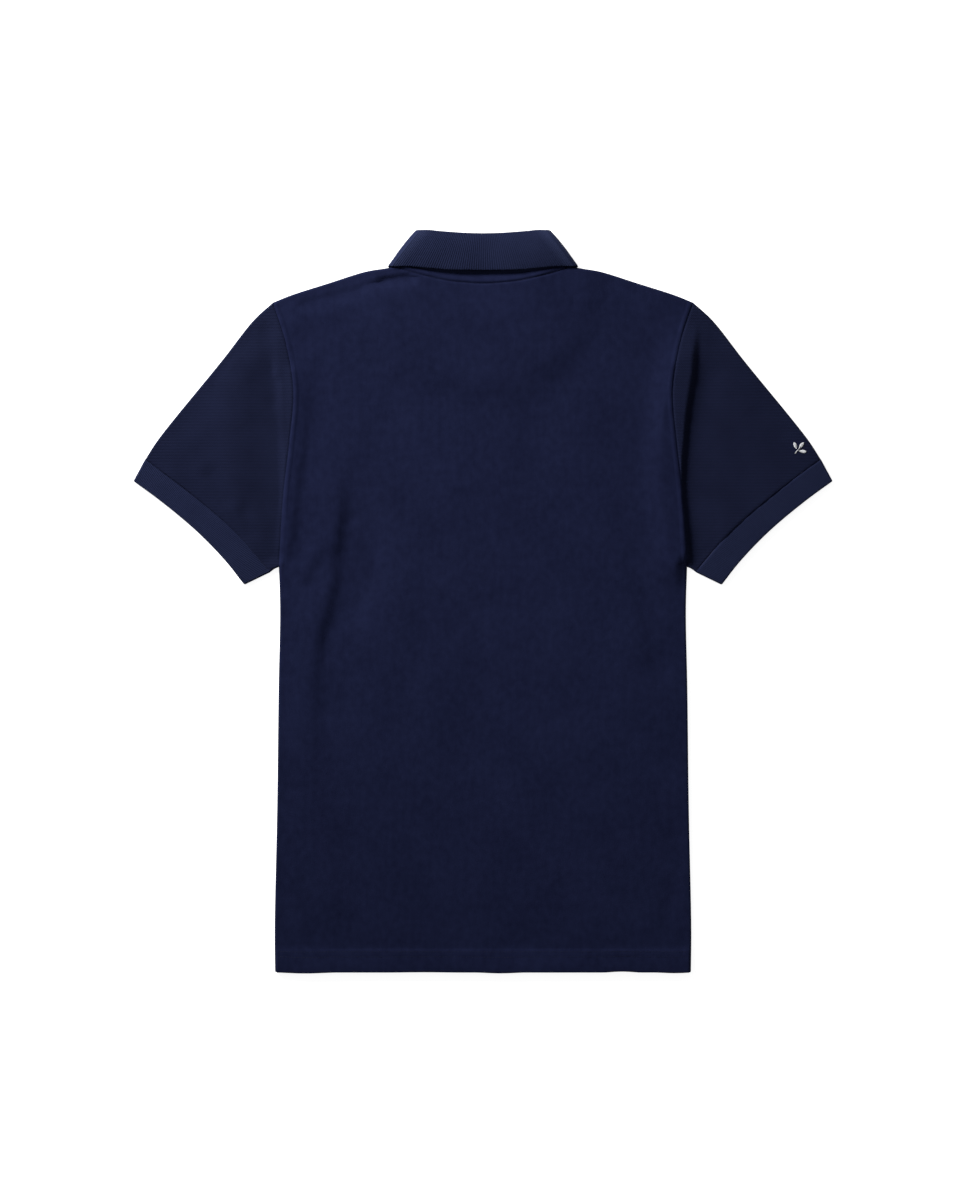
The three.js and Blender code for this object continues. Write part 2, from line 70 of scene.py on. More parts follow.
# Shader sums are written as ordinary Python: a Wire is one socket of a node tree
class Wire:
    def __init__(self, tree, socket):
        self.tree = tree
        self.socket = socket

    def put(self, kind, settings=None, inputs=None, out=0):
        node = self.tree.nodes.new(kind)
        for name, value in (settings or {}).items():
            setattr(node, name, value)
        for name, value in (inputs or {}).items():
            if isinstance(value, Wire):
                self.tree.links.new(value.socket, node.inputs[name])
            else:
                node.inputs[name].default_value = value
        return Wire(self.tree, node.outputs[out])

    def single(self, operation):
        return self.put("ShaderNodeMath", {"operation": operation}, {0: self})

    def pair(self, operation, first, second):
        return self.put("ShaderNodeMath", {"operation": operation}, {0: first, 1: second})

    def __add__(self, other):
        return self.pair("ADD", self, other)

    def __sub__(self, other):
        return self.pair("SUBTRACT", self, other)

    def __rsub__(self, other):
        return self.pair("SUBTRACT", other, self)

    def __mul__(self, other):
        return self.pair("MULTIPLY", self, other)


def mixColour(factor, first, second):
    return factor.put("ShaderNodeMix", {"data_type": "RGBA"}, {0: factor, 6: first, 7: second}, out=2)


# Starts a material and hands back its shader, and wires for the cloth's own map and the object's place
def startMaterial(name, roughness, specular, sheen=0.0, sheenRoughness=0.5, sheenTint=(1, 1, 1, 1)):
    material = bpy.data.materials.new(name)
    material.use_nodes = True
    tree = material.node_tree
    shader = tree.nodes["Principled BSDF"]
    values = {"Roughness": roughness, "Specular IOR Level": specular, "Sheen Weight": sheen,
              "Sheen Roughness": sheenRoughness, "Sheen Tint": sheenTint}
    for key, value in values.items():
        shader.inputs[key].default_value = value
    clothMap = Wire(tree, tree.nodes.new("ShaderNodeUVMap").outputs[0])
    clothMap.socket.node.uv_map = "cloth"
    place = Wire(tree, tree.nodes.new("ShaderNodeTexCoord").outputs["Object"])
    return material, shader, clothMap, place


def noise(place, scale, detail):
    return place.put("ShaderNodeTexNoise", None, {"Vector": place, "Scale": scale, "Detail": detail})


def parts(wire):
    across = wire.put("ShaderNodeSeparateXYZ", None, {0: wire})
    return across, Wire(wire.tree, across.socket.node.outputs[1])


def stretch(place, across, along):
    return place.put("ShaderNodeVectorMath", {"operation": "MULTIPLY"}, {0: place, 1: (across, along, 1.0)})


def wave(wire, length):
    return (wire * (2 * math.pi / length)).single("SINE")


def finishSurface(material, shader, colour, height, depth):
    tree = material.node_tree
    bump = tree.nodes.new("ShaderNodeBump")
    bump.inputs["Strength"].default_value = 1.0
    bump.inputs["Distance"].default_value = depth
    tree.links.new(height.socket, bump.inputs["Height"])
    tree.links.new(bump.outputs[0], shader.inputs["Normal"])
    tree.links.new(colour.socket, shader.inputs["Base Color"])
    return material


cloth = {
    "bodyColour": (0.0084, 0.0116, 0.0400, 1), "bodyShade": (0.0040, 0.0058, 0.0240, 1),
    "sleeveColour": (0.0079, 0.0110, 0.0345, 1), "sleeveShade": (0.0035, 0.0053, 0.0200, 1),
    "ribColour": (0.0124, 0.0172, 0.0500, 1), "ribShade": (0.0063, 0.0092, 0.0310, 1),
    "wale": 1.15 * mm, "course": 0.95 * mm, "jerseyDepth": 0.10 * mm,
    "pique": 1.9 * mm, "piqueDepth": 0.22 * mm, "piqueRow": 3.1 * mm,
    "rib": 1.7 * mm, "ribDepth": 0.30 * mm, "sheenTint": (0.75, 0.82, 1.0, 1),
    # The turn colour is a painted sheen along the collar's turns
    "turnLine": (0.787, 0.617, 0.2815), "turnReach": 8 * mm, "turnSheenColour": (0.0205, 0.0275, 0.0700, 1),
    "threadColour": (0.0060, 0.0084, 0.0290, 1), "whiteColour": (0.80, 0.81, 0.83, 1), "fibreDepth": 0.05 * mm,
    "buttonShade": (0.010, 0.013, 0.034, 1), "buttonColour": (0.020, 0.025, 0.055, 1), "buttonDepth": 0.02 * mm,
}


# Body: fine smooth jersey, with small columns of loops and a slightly mottled dye
def jerseyMaterial():
    material, shader, clothMap, place = startMaterial("navyJersey", 0.9, 0.08)
    across, along = parts(clothMap)
    loops = wave(across, cloth["wale"]) * 0.5 + wave(along, cloth["course"]) * 0.3
    fuzz = noise(place, 900.0, 2.0)
    mottle = noise(place, 20.0, 3.0)
    blotch = noise(stretch(place, 1.0, 0.8), 150.0, 3.0)
    streaks = noise(stretch(place, 1.0, 0.1), 420.0, 2.0)
    tone = mottle * 0.9 + blotch * 1.2 + streaks * 0.25 - 0.67
    colour = mixColour(tone, cloth["bodyShade"], cloth["bodyColour"])
    return finishSurface(material, shader, colour, loops * 0.5 + fuzz, cloth["jerseyDepth"])


# Sleeves: pique, rows of small raised cells, with every few rows standing out a little
def piqueMaterial():
    material, shader, clothMap, place = startMaterial("navyPique", 0.9, 0.1)
    across, along = parts(clothMap)
    cells = wave(across, cloth["pique"]) * wave(along, cloth["pique"])
    rows = wave(along, cloth["piqueRow"])
    fuzz = noise(place, 700.0, 2.0)
    mottle = noise(place, 30.0, 4.0)
    tone = cells * 0.16 + rows * 0.14 + mottle * 0.9 + fuzz * 0.4 - 0.15
    colour = mixColour(tone, cloth["sleeveShade"], cloth["sleeveColour"])
    return finishSurface(material, shader, colour, cells * 0.5 + rows * 0.3 + fuzz * 0.6, cloth["piqueDepth"])


# Collar and cuffs: flat-knit rib, in fine ridges. Along the collar's turns a paler colour is painted in, a
# painted sheen where the rib bends over
def ribMaterial(name, turned):
    material, shader, clothMap, place = startMaterial(name, 0.9, 0.1, 0.02, 0.5, cloth["sheenTint"])
    across, along = parts(clothMap)
    ridges = wave(across, cloth["rib"]) * 0.5 + 0.5
    loops = wave(along, cloth["course"]) * 0.5 + 0.5
    fuzz = noise(place, 800.0, 2.0)
    mottle = noise(place, 40.0, 3.0)
    tone = ridges * 0.45 + loops * 0.1 + mottle * 0.5 - 0.05
    colour = mixColour(tone, cloth["ribShade"], cloth["ribColour"])
    # Painted sheen: a band of paler colour painted along the collar's turn lines
    if turned:
        x, y = parts(place)
        slopeX, slopeY, start = cloth["turnLine"]
        beside = x.single("ABSOLUTE") * slopeX + y * slopeY - start
        near = beside.single("ABSOLUTE") * (1 / cloth["turnReach"])
        pale = x.pair("MAXIMUM", 1.0 - near, 0.0)
        colour = mixColour(pale * (ridges * 0.5 + 0.5), colour, cloth["turnSheenColour"])
    return finishSurface(material, shader, colour, ridges * 0.8 + loops * 0.25 + fuzz * 0.4, cloth["ribDepth"])


def threadMaterial(name, colour, lustre):
    material, shader, _, place = startMaterial(name, 0.6, 0.12, lustre, 0.3)
    fibres = noise(place, 1600.0, 2.0)
    shade = [level * 0.8 for level in colour[:3]] + [1]
    tone = mixColour(fibres, shade, colour)
    return finishSurface(material, shader, tone, fibres, cloth["fibreDepth"])


def buttonMaterial():
    material, shader, _, place = startMaterial("navyButton", 0.28, 0.5)
    clouds = noise(place, 300.0, 3.0)
    shader.inputs["Coat Weight"].default_value = 0.3
    shader.inputs["Coat Roughness"].default_value = 0.15
    colour = mixColour(clouds, cloth["buttonShade"], cloth["buttonColour"])
    return finishSurface(material, shader, colour, clouds, cloth["buttonDepth"])


jersey = jerseyMaterial()
pique = piqueMaterial()
rib = ribMaterial("navyRib", False)
collarKnit = ribMaterial("navyCollarRib", True)
navyThread = threadMaterial("navyThread", cloth["threadColour"], 0.0)
whiteThread = threadMaterial("whiteThread", cloth["whiteColour"], 0.2)
buttonPlastic = buttonMaterial()
print("materials ready")

# Sizes of the cut, in millimetres, close to the solids' own: the right half seen from above
shirt = {
    "clothWall": 1.4, "ribWall": 1.8, "seamGap": 0.12, "edgeHeight": 4.8, "frontLevel": 2.8, "collarMid": 5.2,
    "neckSag": 2.8, "loft": 1.3, "loftReach": 34.0, "rightLoft": 1.9, "reliefRange": (-1.9, 5.6),
    "hemY": -377.9, "hemExtra": 0.6,
    "side": [(212.3, -378.8), (212.7, -335.6), (210.2, -213.2), (208.7, -90.8), (207.2, -10.0), (208.4, 34.7)],
    "armhole": [(208.4, 34.7), (203.6, 108.0), (197.4, 163.2), (193.5, 215.0), (201.6, 264.2), (214.6, 304.7)],
    "shoulder": [(214.6, 304.7), (196.5, 312.0), (159.0, 324.0), (120.4, 336.0), (97.0, 339.8), (84.0, 342.8)],
    "overarm": [(214.6, 304.7), (234.0, 286.9), (266.0, 246.0), (331.7, 164.4), (344.6, 144.5)],
    "underarm": [(208.4, 34.7), (212.8, 33.0), (217.3, 29.8)],
    "cuffSeam": [(344.6, 144.5), (297.4, 109.1), (253.7, 71.4), (217.3, 29.8)],
    "cuffEdge": [(356.6, 122.2), (328.9, 101.9), (292.2, 71.2), (262.6, 40.6), (243.9, 16.9)],
    "neckStitch": [(0.0, 323.9), (18.4, 324.9), (36.7, 326.9), (54.1, 330.5), (68.3, 334.1), (84.7, 339.5)],
}

# How the upper layer lies over the rest and beside its sewn lines. A line's pair is its depth and reach, and a
# ridge's three are its height, its distance from the line and its reach
form = {
    "neckY": 345, "neckReach": 60, "collarOval": (104, 118), "collarFade": (1, 1.32),
    "placketHalf": 15, "placketFoot": 103.3, "placketFade": (6, 40), "placketDip": 2.1,
    "armholeRidge": (0.5, 2.9, 3.1), "armholeLine": (0.5, 1.8), "cuffRidge": (0.1, 3.0, 4.0),
    "cuffLine": (0.4, 1.8), "neckLine": (0.8, 1.7), "neckBand": (0.45, 2.0, 84),
    "hemFold": (1.0, 20.4, 23.2), "hemEdge": (1.8, 26),
    "hemRows": (20.2, 15.0), "hemReach": (1.4, 1.3), "hemDepth": (0.20, 0.12), "frontHemDepth": (0.22, 0.20),
    "frontArmhole": (0.4, 0, 3.2), "pucker": 0.09, "puckerTurn": (0.71, 1.4, 0.113), "puckerSlope": 0.6,
    "seamFade": (8, 3.5, 46, 64),
}

# How finely each stretch of a piece is divided
fine = {"rollSteps": 6, "side": 84, "armhole": 58, "shoulder": 20, "neck": 22, "frontNeck": 26}
seamRows = np.concatenate([np.arange(1, 13) * 0.9, [11.8, 12.9, 14.1, 15.5, 17.1, 19.0]])
seamColumns = np.array([
    0.8, 1.6, 2.4, 3.2, 4.0, 4.9, 5.9, 7.0, 8.2, 9.5, 10.9, 12.4, 14.0, 15.8, 18.0, 20.6, 23.6, 27.2, 31.4,
])
ringShares = np.concatenate([
    [0, 0.004, 0.008, 0.013, 0.018, 0.024, 0.030, 0.037, 0.045],
    [0.054, 0.064, 0.075, 0.087, 0.10, 0.115, 0.13, 0.147],
    np.linspace(0.165, 0.90, 32),
    [0.92, 0.938, 0.952, 0.964, 0.975, 0.985, 0.993, 1.0],
])


def smoothstep(value, low, high):
    t = np.clip((value - low) / (high - low), 0.0, 1.0)
    return t * t * (3 - 2 * t)


def bump(s):
    return np.where(np.abs(s) < 1, (1 - s * s) ** 2, 0.0)


def mix(a, b, t):
    return a + (b - a) * t


def between(u, low, high, first, second):
    return (high - u) / (high - low) * first + (u - low) / (high - low) * second


# How far along a path each of its points is
def runAlong(points, power=1.0):
    steps = np.linalg.norm(np.diff(points, axis=0), axis=1)
    return np.concatenate([[0], np.cumsum(steps ** power)])


# A smooth curve through a few points, read by its share of length
class Seam:
    def __init__(self, points, perSpan=60):
        rows = np.array(points, dtype=float)
        ends = np.vstack([2 * rows[0] - rows[1], rows, 2 * rows[-1] - rows[-2]])
        knots = runAlong(ends, 0.5)
        out = []
        for k in range(1, len(ends) - 2):
            p, t = ends[k - 1:k + 3], knots[k - 1:k + 3]
            u = np.linspace(t[1], t[2], perSpan, endpoint=False)[:, None]
            a = [between(u, t[j], t[j + 1], p[j], p[j + 1]) for j in range(3)]
            b = [between(u, t[j], t[j + 2], a[j], a[j + 1]) for j in range(2)]
            out.append(between(u, t[1], t[2], b[0], b[1]))
        self.points = np.vstack(out + [rows[-1:]])
        self.run = runAlong(self.points)
        self.length = self.run[-1]

    def at(self, share):
        place = np.asarray(share, dtype=float) * self.length
        return np.stack([np.interp(place, self.run, column) for column in self.points.T], axis=-1)


# The folds of the upper layer: a path drawn downwards, its reach to the left and right, its rise, and where it
# fades in at its start and out at its end
sleeveFold = [
    (216.5, 290), (214.2, 266), (211.7, 246), (209, 225), (205.7, 205), (203, 185), (201.2, 164), (199.5, 144),
    (199.2, 123), (199.6, 103), (201.9, 83), (204.6, 56), (205.6, 46),
]
sleeveValley = [
    (222.6, 284), (220.3, 266), (218, 246), (215.5, 225), (212.2, 205), (209.5, 185), (207.7, 164), (206, 144),
    (205.7, 123), (206, 103), (208.4, 83), (211.3, 56), (212.2, 46),
]
leftCrease = [
    (-138, 83), (-141, 62), (-144, 42), (-145, 21), (-148, 1), (-153, -19), (-158, -40), (-160.5, -60),
]
folds = [
    ([(-70, 245), (-96, 205), (-106, 185), (-124, 144), (-133, 123)], (12, 34), -0.35),
    ([(-133, 130), (-135.5, 112), *leftCrease, (-163, -81), (-164, -120), (-165, -175)],
     (12, 50), -1.4, (30, 100)),
    ([(-136, 110), *leftCrease, (-163, -90)], (12, 45), -1.3, (35, 50)),
    ([(-147, 100), (-150, 70), (-154, 42), (-155, 15), (-162, -19)], (42, 12), 1.0),
    ([(-167, -30), (-170, -60), (-173, -90), (-174, -150)], (34, 12), 0.5),
    ([(-119, 112), (-122, 76), (-124, 40), (-127, 4), (-130, -34)], (24, 50), -2.9, (55, 55)),
    ([(-88, 116), (-92, 60), (-97, 10)], (34, 40), 0.3),
    ([(-150, 60), (-162.5, 40), (-175, 19), (-186, -1)], (12, 24), -1.6, (20, 25)),
    ([(-47, -1), (-80, -50), (-90, -101), (-90, -121)], (16, 32), -0.35),
    ([(-36, -60), (-58, -110), (-66, -190)], (30, 44), 0.5),
    ([(150, 42), (167, -9), (175, -70)], (12, 24), -0.9),
    ([(186, 236), (178, 150), (165, 83)], (24, 20), 0.55),
    (sleeveFold, (40, 7.5), 4.9, (60, 0)),
    (sleeveFold, (40, 22), 1.2, (60, 0)),
    (sleeveValley, (5.5, 40), -1.8, (60, 0)),
    ([(240, 250), (238, 180), (236, 110)], (26, 50), -0.5),
    ([(-193, 232), (-193, 170), (-198, 110), (-203, 56)], (11, 16), 1.3),
    ([(-169, 232), (-171.5, 205), (-171.5, 185), (-175, 164), (-177, 144), (-182, 123), (-183.5, 103),
      (-188, 62)], (10, 26), -0.8),
    ([(-213, 224), (-211, 164), (-210, 123), (-208, 83), (-209, 46)], (30, 9), -1.9),
    ([(-219, 276), (-216, 240), (-213, 205)], (14, 9), -0.9),
    ([(-250, 240), (-254, 160), (-252, 116)], (26, 22), 1.3),
    ([(-277, 128), (-262, 104)], (12, 15), -1.1),
    ([(-243, 90), (-236, 72)], (10, 13), -1.0),
    ([(-128, 316), (-182, 304)], (8, 10), -0.8),
    ([(-76, 330.5), (-90, 328.8), (-102, 327)], (6, 13), -1.9),
    ([(-100, 328), (-124, 320)], (6, 9), -0.8),
    ([(-141, -244), (-136, -320)], (18, 24), -0.6),
    ([(-185, -288), (-170, -340)], (12, 18), -0.8),
    ([(193, -290), (186, -330)], (16, 14), -0.7),
    ([(30, -190), (18, -320)], (44, 40), 0.5),
    ([(104, -150), (120, -330)], (40, 40), 0.5),
]


# Each point's distance from a path, whether it lies right of it, how far along it is, and the path's length
def besidePath(path, x, y):
    nearest = np.full(np.shape(x), 1e9)
    right = np.zeros(np.shape(x), dtype=bool)
    run = np.zeros(np.shape(x))
    length = 0.0
    for (ax, ay), (bx, by) in zip(path[:-1], path[1:]):
        dx, dy, fromX, fromY = bx - ax, by - ay, x - ax, y - ay
        step = math.hypot(dx, dy)
        share = np.clip((fromX * dx + fromY * dy) / max(1e-9, dx ** 2 + dy ** 2), 0, 1)
        away = np.hypot(fromX - share * dx, fromY - share * dy)
        right = np.where(away < nearest, dx * fromY - dy * fromX > 0, right)
        run = np.where(away < nearest, length + share * step, run)
        length += step
        nearest = np.minimum(nearest, away)
    return nearest, right, run, length


def distanceTo(path, x, y):
    return besidePath(path, x, y)[0]


def foldRise(x, y, path, reach, rise, taper=(0, 0)):
    away, right, run, length = besidePath(Seam(path, 8).points, x, y)
    fade = smoothstep(run, -1, taper[0]) * smoothstep(length - run, -1, taper[1])
    return rise * fade * bump(away / np.where(right, reach[1], reach[0]))


# Long soft waves all over the cloth: length, heading, rise and phase
waves = [
    (118, 24, 0.10, 0.4), (83, 64, 0.08, 2.1), (61, -37, 0.06, 4.0),
    (43, 21, 0.04, 1.2), (34, 81, 0.035, 5.1), (27, -64, 0.03, 3.3),
]

sideFold = Seam(shirt["side"])
armhole = Seam(shirt["armhole"])
shoulder = Seam(shirt["shoulder"])
overarm = Seam(shirt["overarm"])
underarm = Seam(shirt["underarm"])
cuffSeam = Seam(shirt["cuffSeam"])
neckStitch = Seam(shirt["neckStitch"])
collarBack = {
    "seam": [(0, 333.7), (20, 334.1), (38, 335.4), (56, 338.0), (71, 341.0), (82, 343.4)],
    "roll": [(0, 373.0), (16, 373.3), (31, 374.2), (45, 375.3), (57, 376.5), (64.6, 376.4)],
    "edge": [(0, 337.4), (19, 337.5), (37, 337.8), (56, 339.4), (75, 341.2), (92.4, 341.0)],
}
collarFront = {
    "seam": [(82, 343.4), (78, 320), (66, 298), (48, 280), (26, 268), (1.5, 263.3)],
    "roll": [(65.9, 373.4), (62, 352), (52, 328), (38, 309), (20, 295), (1.5, 290)],
    "edge": [(93.6, 338.4), (88, 306), (78, 280), (68, 262), (56, 248), (42, 238)],
}
backNeck = Seam(collarBack["seam"])


# How far a point lies over the collar or the placket, from 0 to 1
def raisedZones(x, y):
    wide, tall = form["collarOval"]
    collarZone = 1 - smoothstep(np.hypot(x / wide, (y - form["neckY"]) / tall), *form["collarFade"])
    beside = np.maximum(0, np.abs(x) - form["placketHalf"])
    under = np.maximum(0, form["placketFoot"] - y)
    return collarZone, 1 - smoothstep(np.hypot(beside, under), *form["placketFade"])


def lowerLevel(x, y):
    return shirt["frontLevel"] * np.maximum(*raisedZones(x, y))


def neckSag(x, y):
    return shirt["neckSag"] * bump(x / form["neckReach"]) * bump((y - form["neckY"]) / form["neckReach"])


def pressed(away, size):
    return -size[0] * bump(away / size[1])


def raised(away, size):
    return size[0] * bump((away - size[1]) / size[2])


def hemLines(aboveHem, depths):
    rows = zip(form["hemRows"], form["hemReach"], depths)
    return sum(depth * bump((aboveHem - row) / reach) for row, reach, depth in rows)


# Distance in from the folded edges of the body and sleeves
def inFromFolds(x, y):
    ax = np.abs(x)
    body = np.minimum(distanceTo(sideFold.points[::12], ax, y), distanceTo(shoulder.points[::12], ax, y))
    arm = np.minimum(distanceTo(overarm.points[::12], ax, y), distanceTo(underarm.points[::12], ax, y))
    return np.minimum(body, arm)


# Rise of the upper layer over the plain height of a folded edge
def relief(x, y):
    ax = np.abs(x)
    inside = inFromFolds(x, y)
    total = shirt["loft"] * smoothstep(inside, 2, shirt["loftReach"] * np.where(x > 0, shirt["rightLoft"], 1.0))
    for fold in folds:
        total = total + foldRise(x, y, *fold) * smoothstep(inside, 0, 14)
    for length, heading, rise, phase in waves:
        turn = math.radians(heading)
        run = (x * math.cos(turn) + y * math.sin(turn)) * 2 * math.pi / length
        total = total + rise * np.sin(run + phase) * smoothstep(inside, 2, 20)
    collarZone, placketZone = raisedZones(x, y)
    total = total - form["placketDip"] * np.maximum(0, placketZone - collarZone)
    total = np.clip(total, *shirt["reliefRange"])
    # The sewn lines: the body's turned allowance stands up beside the armhole, and stitching pulls in
    toArmhole = distanceTo(armhole.points[::6], ax, y)
    bodySide = ax < np.interp(y, armhole.points[:, 1], armhole.points[:, 0])
    total = total + np.where(bodySide, raised(toArmhole, form["armholeRidge"]), 0)
    total = total + pressed(toArmhole, form["armholeLine"])
    toCuff = distanceTo(cuffSeam.points[::12], ax, y)
    total = total + raised(toCuff, form["cuffRidge"]) + pressed(toCuff, form["cuffLine"])
    toNeck = distanceTo(neckStitch.points[::6], ax, y)
    bandRise, bandStep, bandEnd = form["neckBand"]
    inBand = (y > np.interp(ax, neckStitch.points[:, 0], neckStitch.points[:, 1])) & (ax < bandEnd)
    total = total + np.where(inBand, bandRise * smoothstep(toNeck, 0, bandStep), 0)
    total = total + pressed(toNeck, form["neckLine"])
    aboveHem = y - shirt["hemY"]
    rise, low, high = form["hemFold"]
    total = total + rise * (1 - smoothstep(aboveHem, low, high))
    rise, high = form["hemEdge"]
    total = total + rise * (1 - smoothstep(aboveHem, 0, high)) - hemLines(aboveHem, form["hemDepth"])
    # Stitching puckers the cloth beside it
    pucker = bump((aboveHem - 17.5) / 12) + 0.6 * bump(toCuff / 9)
    pucker = pucker + 0.8 * bump(toArmhole / 8) + 0.5 * bump(toNeck / 6)
    along = np.where(aboveHem < 40, x, x * form["puckerSlope"] + y)
    turn, sway, slow = form["puckerTurn"]
    ripple = np.sin(along * turn + sway * np.sin(along * slow))
    total = total + form["pucker"] * pucker * ripple * smoothstep(inside, 1, 8)
    wide, narrow, fadeStart, fadeEnd = form["seamFade"]
    fadeReach = mix(wide, narrow, smoothstep(ax, fadeStart, fadeEnd))
    toNeckSeam = distanceTo(backNeck.points[::6], ax, y)
    return total * smoothstep(toNeckSeam / fadeReach, 0, 1) - neckSag(x, y)


def topHeight(x, y):
    return lowerLevel(x, y) + shirt["edgeHeight"] + relief(x, y)


# Turns an outer and an inner grid of points into one closed wall with its cloth map
def wallMesh(name, outer, inner, clothMap, material, wrapped=False):
    rows, columns = outer.shape[:2]
    layer = rows * columns
    points = np.concatenate([outer.reshape(-1, 3), inner.reshape(-1, 3)]) * mm
    mapOf = np.tile(clothMap.reshape(-1, 2), (2, 1)) * mm
    spans = columns if wrapped else columns - 1
    j, i = np.meshgrid(np.arange(rows - 1), np.arange(spans), indexing="ij")
    a, b = (j * columns + i).ravel(), (j * columns + (i + 1) % columns).ravel()
    c, d = ((j + 1) * columns + (i + 1) % columns).ravel(), ((j + 1) * columns + i).ravel()
    faces = [np.stack([a, b, c, d], 1), np.stack([a, d, c, b], 1) + layer]
    k = np.arange(spans)
    low, lowNext = k, (k + 1) % columns
    high, highNext = low + (rows - 1) * columns, lowNext + (rows - 1) * columns
    faces.append(np.stack([low, low + layer, lowNext + layer, lowNext], 1))
    faces.append(np.stack([high, highNext, highNext + layer, high + layer], 1))
    if not wrapped:
        j = np.arange(rows - 1)
        left, leftUp = j * columns, (j + 1) * columns
        right, rightUp = left + spans, leftUp + spans
        faces.append(np.stack([left, leftUp, leftUp + layer, left + layer], 1))
        faces.append(np.stack([right, right + layer, rightUp + layer, rightUp], 1))
    faces = np.concatenate(faces)
    corners = points[faces[:, :3]]
    volume = np.einsum("ij,ij->i", corners[:, 0], np.cross(corners[:, 1], corners[:, 2])).sum()
    if volume < 0:
        faces = faces[:, ::-1]
    return makeMesh(name, points, faces.tolist(), mapOf, material)


def makeMesh(name, points, faces, mapOf, material, smooth=True):
    mesh = bpy.data.meshes.new(name)
    mesh.from_pydata(points.tolist(), [], faces)
    layer = mesh.uv_layers.new(name="cloth")
    used = np.empty(len(mesh.loops), dtype=np.int32)
    mesh.loops.foreach_get("vertex_index", used)
    layer.data.foreach_set("uv", mapOf.astype(np.float32)[used].ravel())
    mesh.polygons.foreach_set("use_smooth", [smooth] * len(mesh.polygons))
    mesh.materials.append(material)
    return addObject(name, mesh)


# Offsets a grid of middle points to both faces of the cloth
def bothFaces(middle, facing, outerHalf, innerHalf):
    facing = facing / np.maximum(1e-9, np.linalg.norm(facing, axis=-1, keepdims=True))
    return middle + facing * outerHalf[..., None], middle - facing * innerHalf[..., None]


halfWall = shirt["clothWall"] / 2
rollRadius = shirt["edgeHeight"] / 2 - halfWall
rollTurn = np.linspace(0, math.pi / 2, fine["rollSteps"] + 1)
rollStep = rollRadius * (1 - np.cos(rollTurn))
rollLift = np.sin(rollTurn)


# How far up the roll the cloth is, so many rows in from a folded edge: 1 is flat cloth
def rollRise(rows):
    return rollLift[np.minimum(rows, fine["rollSteps"])]


def shares(count):
    return (np.arange(count - 1) + 1) / count


# Places along the armhole, from underarm to shoulder, closer together beside the shoulder and neckline
def armholeShares():
    inset = (rollStep + halfWall) / armhole.length
    upper = 1 - inset[-1] - seamRows[::-1] / armhole.length
    middle = mix(inset[-1], upper[0], shares(fine["armhole"] + 1))
    return np.concatenate([inset, middle, upper, 1 - inset[::-1]])


# The right edge of a panel, from the hem up the side fold and the armhole
def panelEdge():
    side = Seam([(x - halfWall, y) for x, y in shirt["side"]])
    hem = np.array([0, 0.5, 1.4, 4, 7, 10, 13, 14.2, 15, 15.8, 17.5, 19.2, 20.2, 21.2, 22.4, 24]) / side.length
    plain = mix(hem[-1], 1, shares(fine["side"] + 1))
    share = np.concatenate([hem, plain, [1]])
    low = side.at(share)
    high = armhole.at(armholeShares()[1:])
    high[:, 0] -= shirt["seamGap"] / 2
    points = np.vstack([low, high])
    folded = np.arange(len(points)) < len(low)
    lift = rollRise(np.cumsum(~folded))
    rim = np.ones(len(points))
    rim[:3] = (0.35, 0.75, 1)            # the hem's folded edge is rounded
    inner = np.full(len(points), halfWall)
    inner[:13] += shirt["hemExtra"]
    return {"points": points, "folded": folded, "lift": lift, "rim": rim, "inner": inner}


# The top edge of a panel, from the shoulder tip to the middle of the neckline
def panelTop(neckline, count):
    lowered = [(x, y - halfWall) for x, y in shirt["shoulder"]]
    lowered[0] = (lowered[0][0] - shirt["seamGap"] / 2, lowered[0][1])
    line = Seam(lowered)
    beside = (rollStep[-1] + seamColumns) / line.length
    plain = mix(beside[-1], 1, shares(fine["shoulder"] + 1))
    share = np.concatenate([rollStep / line.length, beside, plain, [1]])
    outer = line.at(share)
    end = outer[-1]
    turn = np.stack([end[0] - rollStep[1:], end[1] - 0.2 * rollStep[1:]], 1)
    neck = Seam([turn[-1]] + list(neckline)).at(np.append(shares(count), 1.0))
    points = np.vstack([outer, turn, neck])
    folded = np.arange(len(points)) < len(outer)
    return {"points": points, "folded": folded, "lift": rollRise(np.cumsum(~folded))}


# Each hem wave: place along the hem, reach, and how far it moves the edge
hemWaves = [(-182, 34, -0.9), (18, 26, -0.8), (196, 22, -0.7), (142, 20, 1.0), (-60, 40, 0.3)]


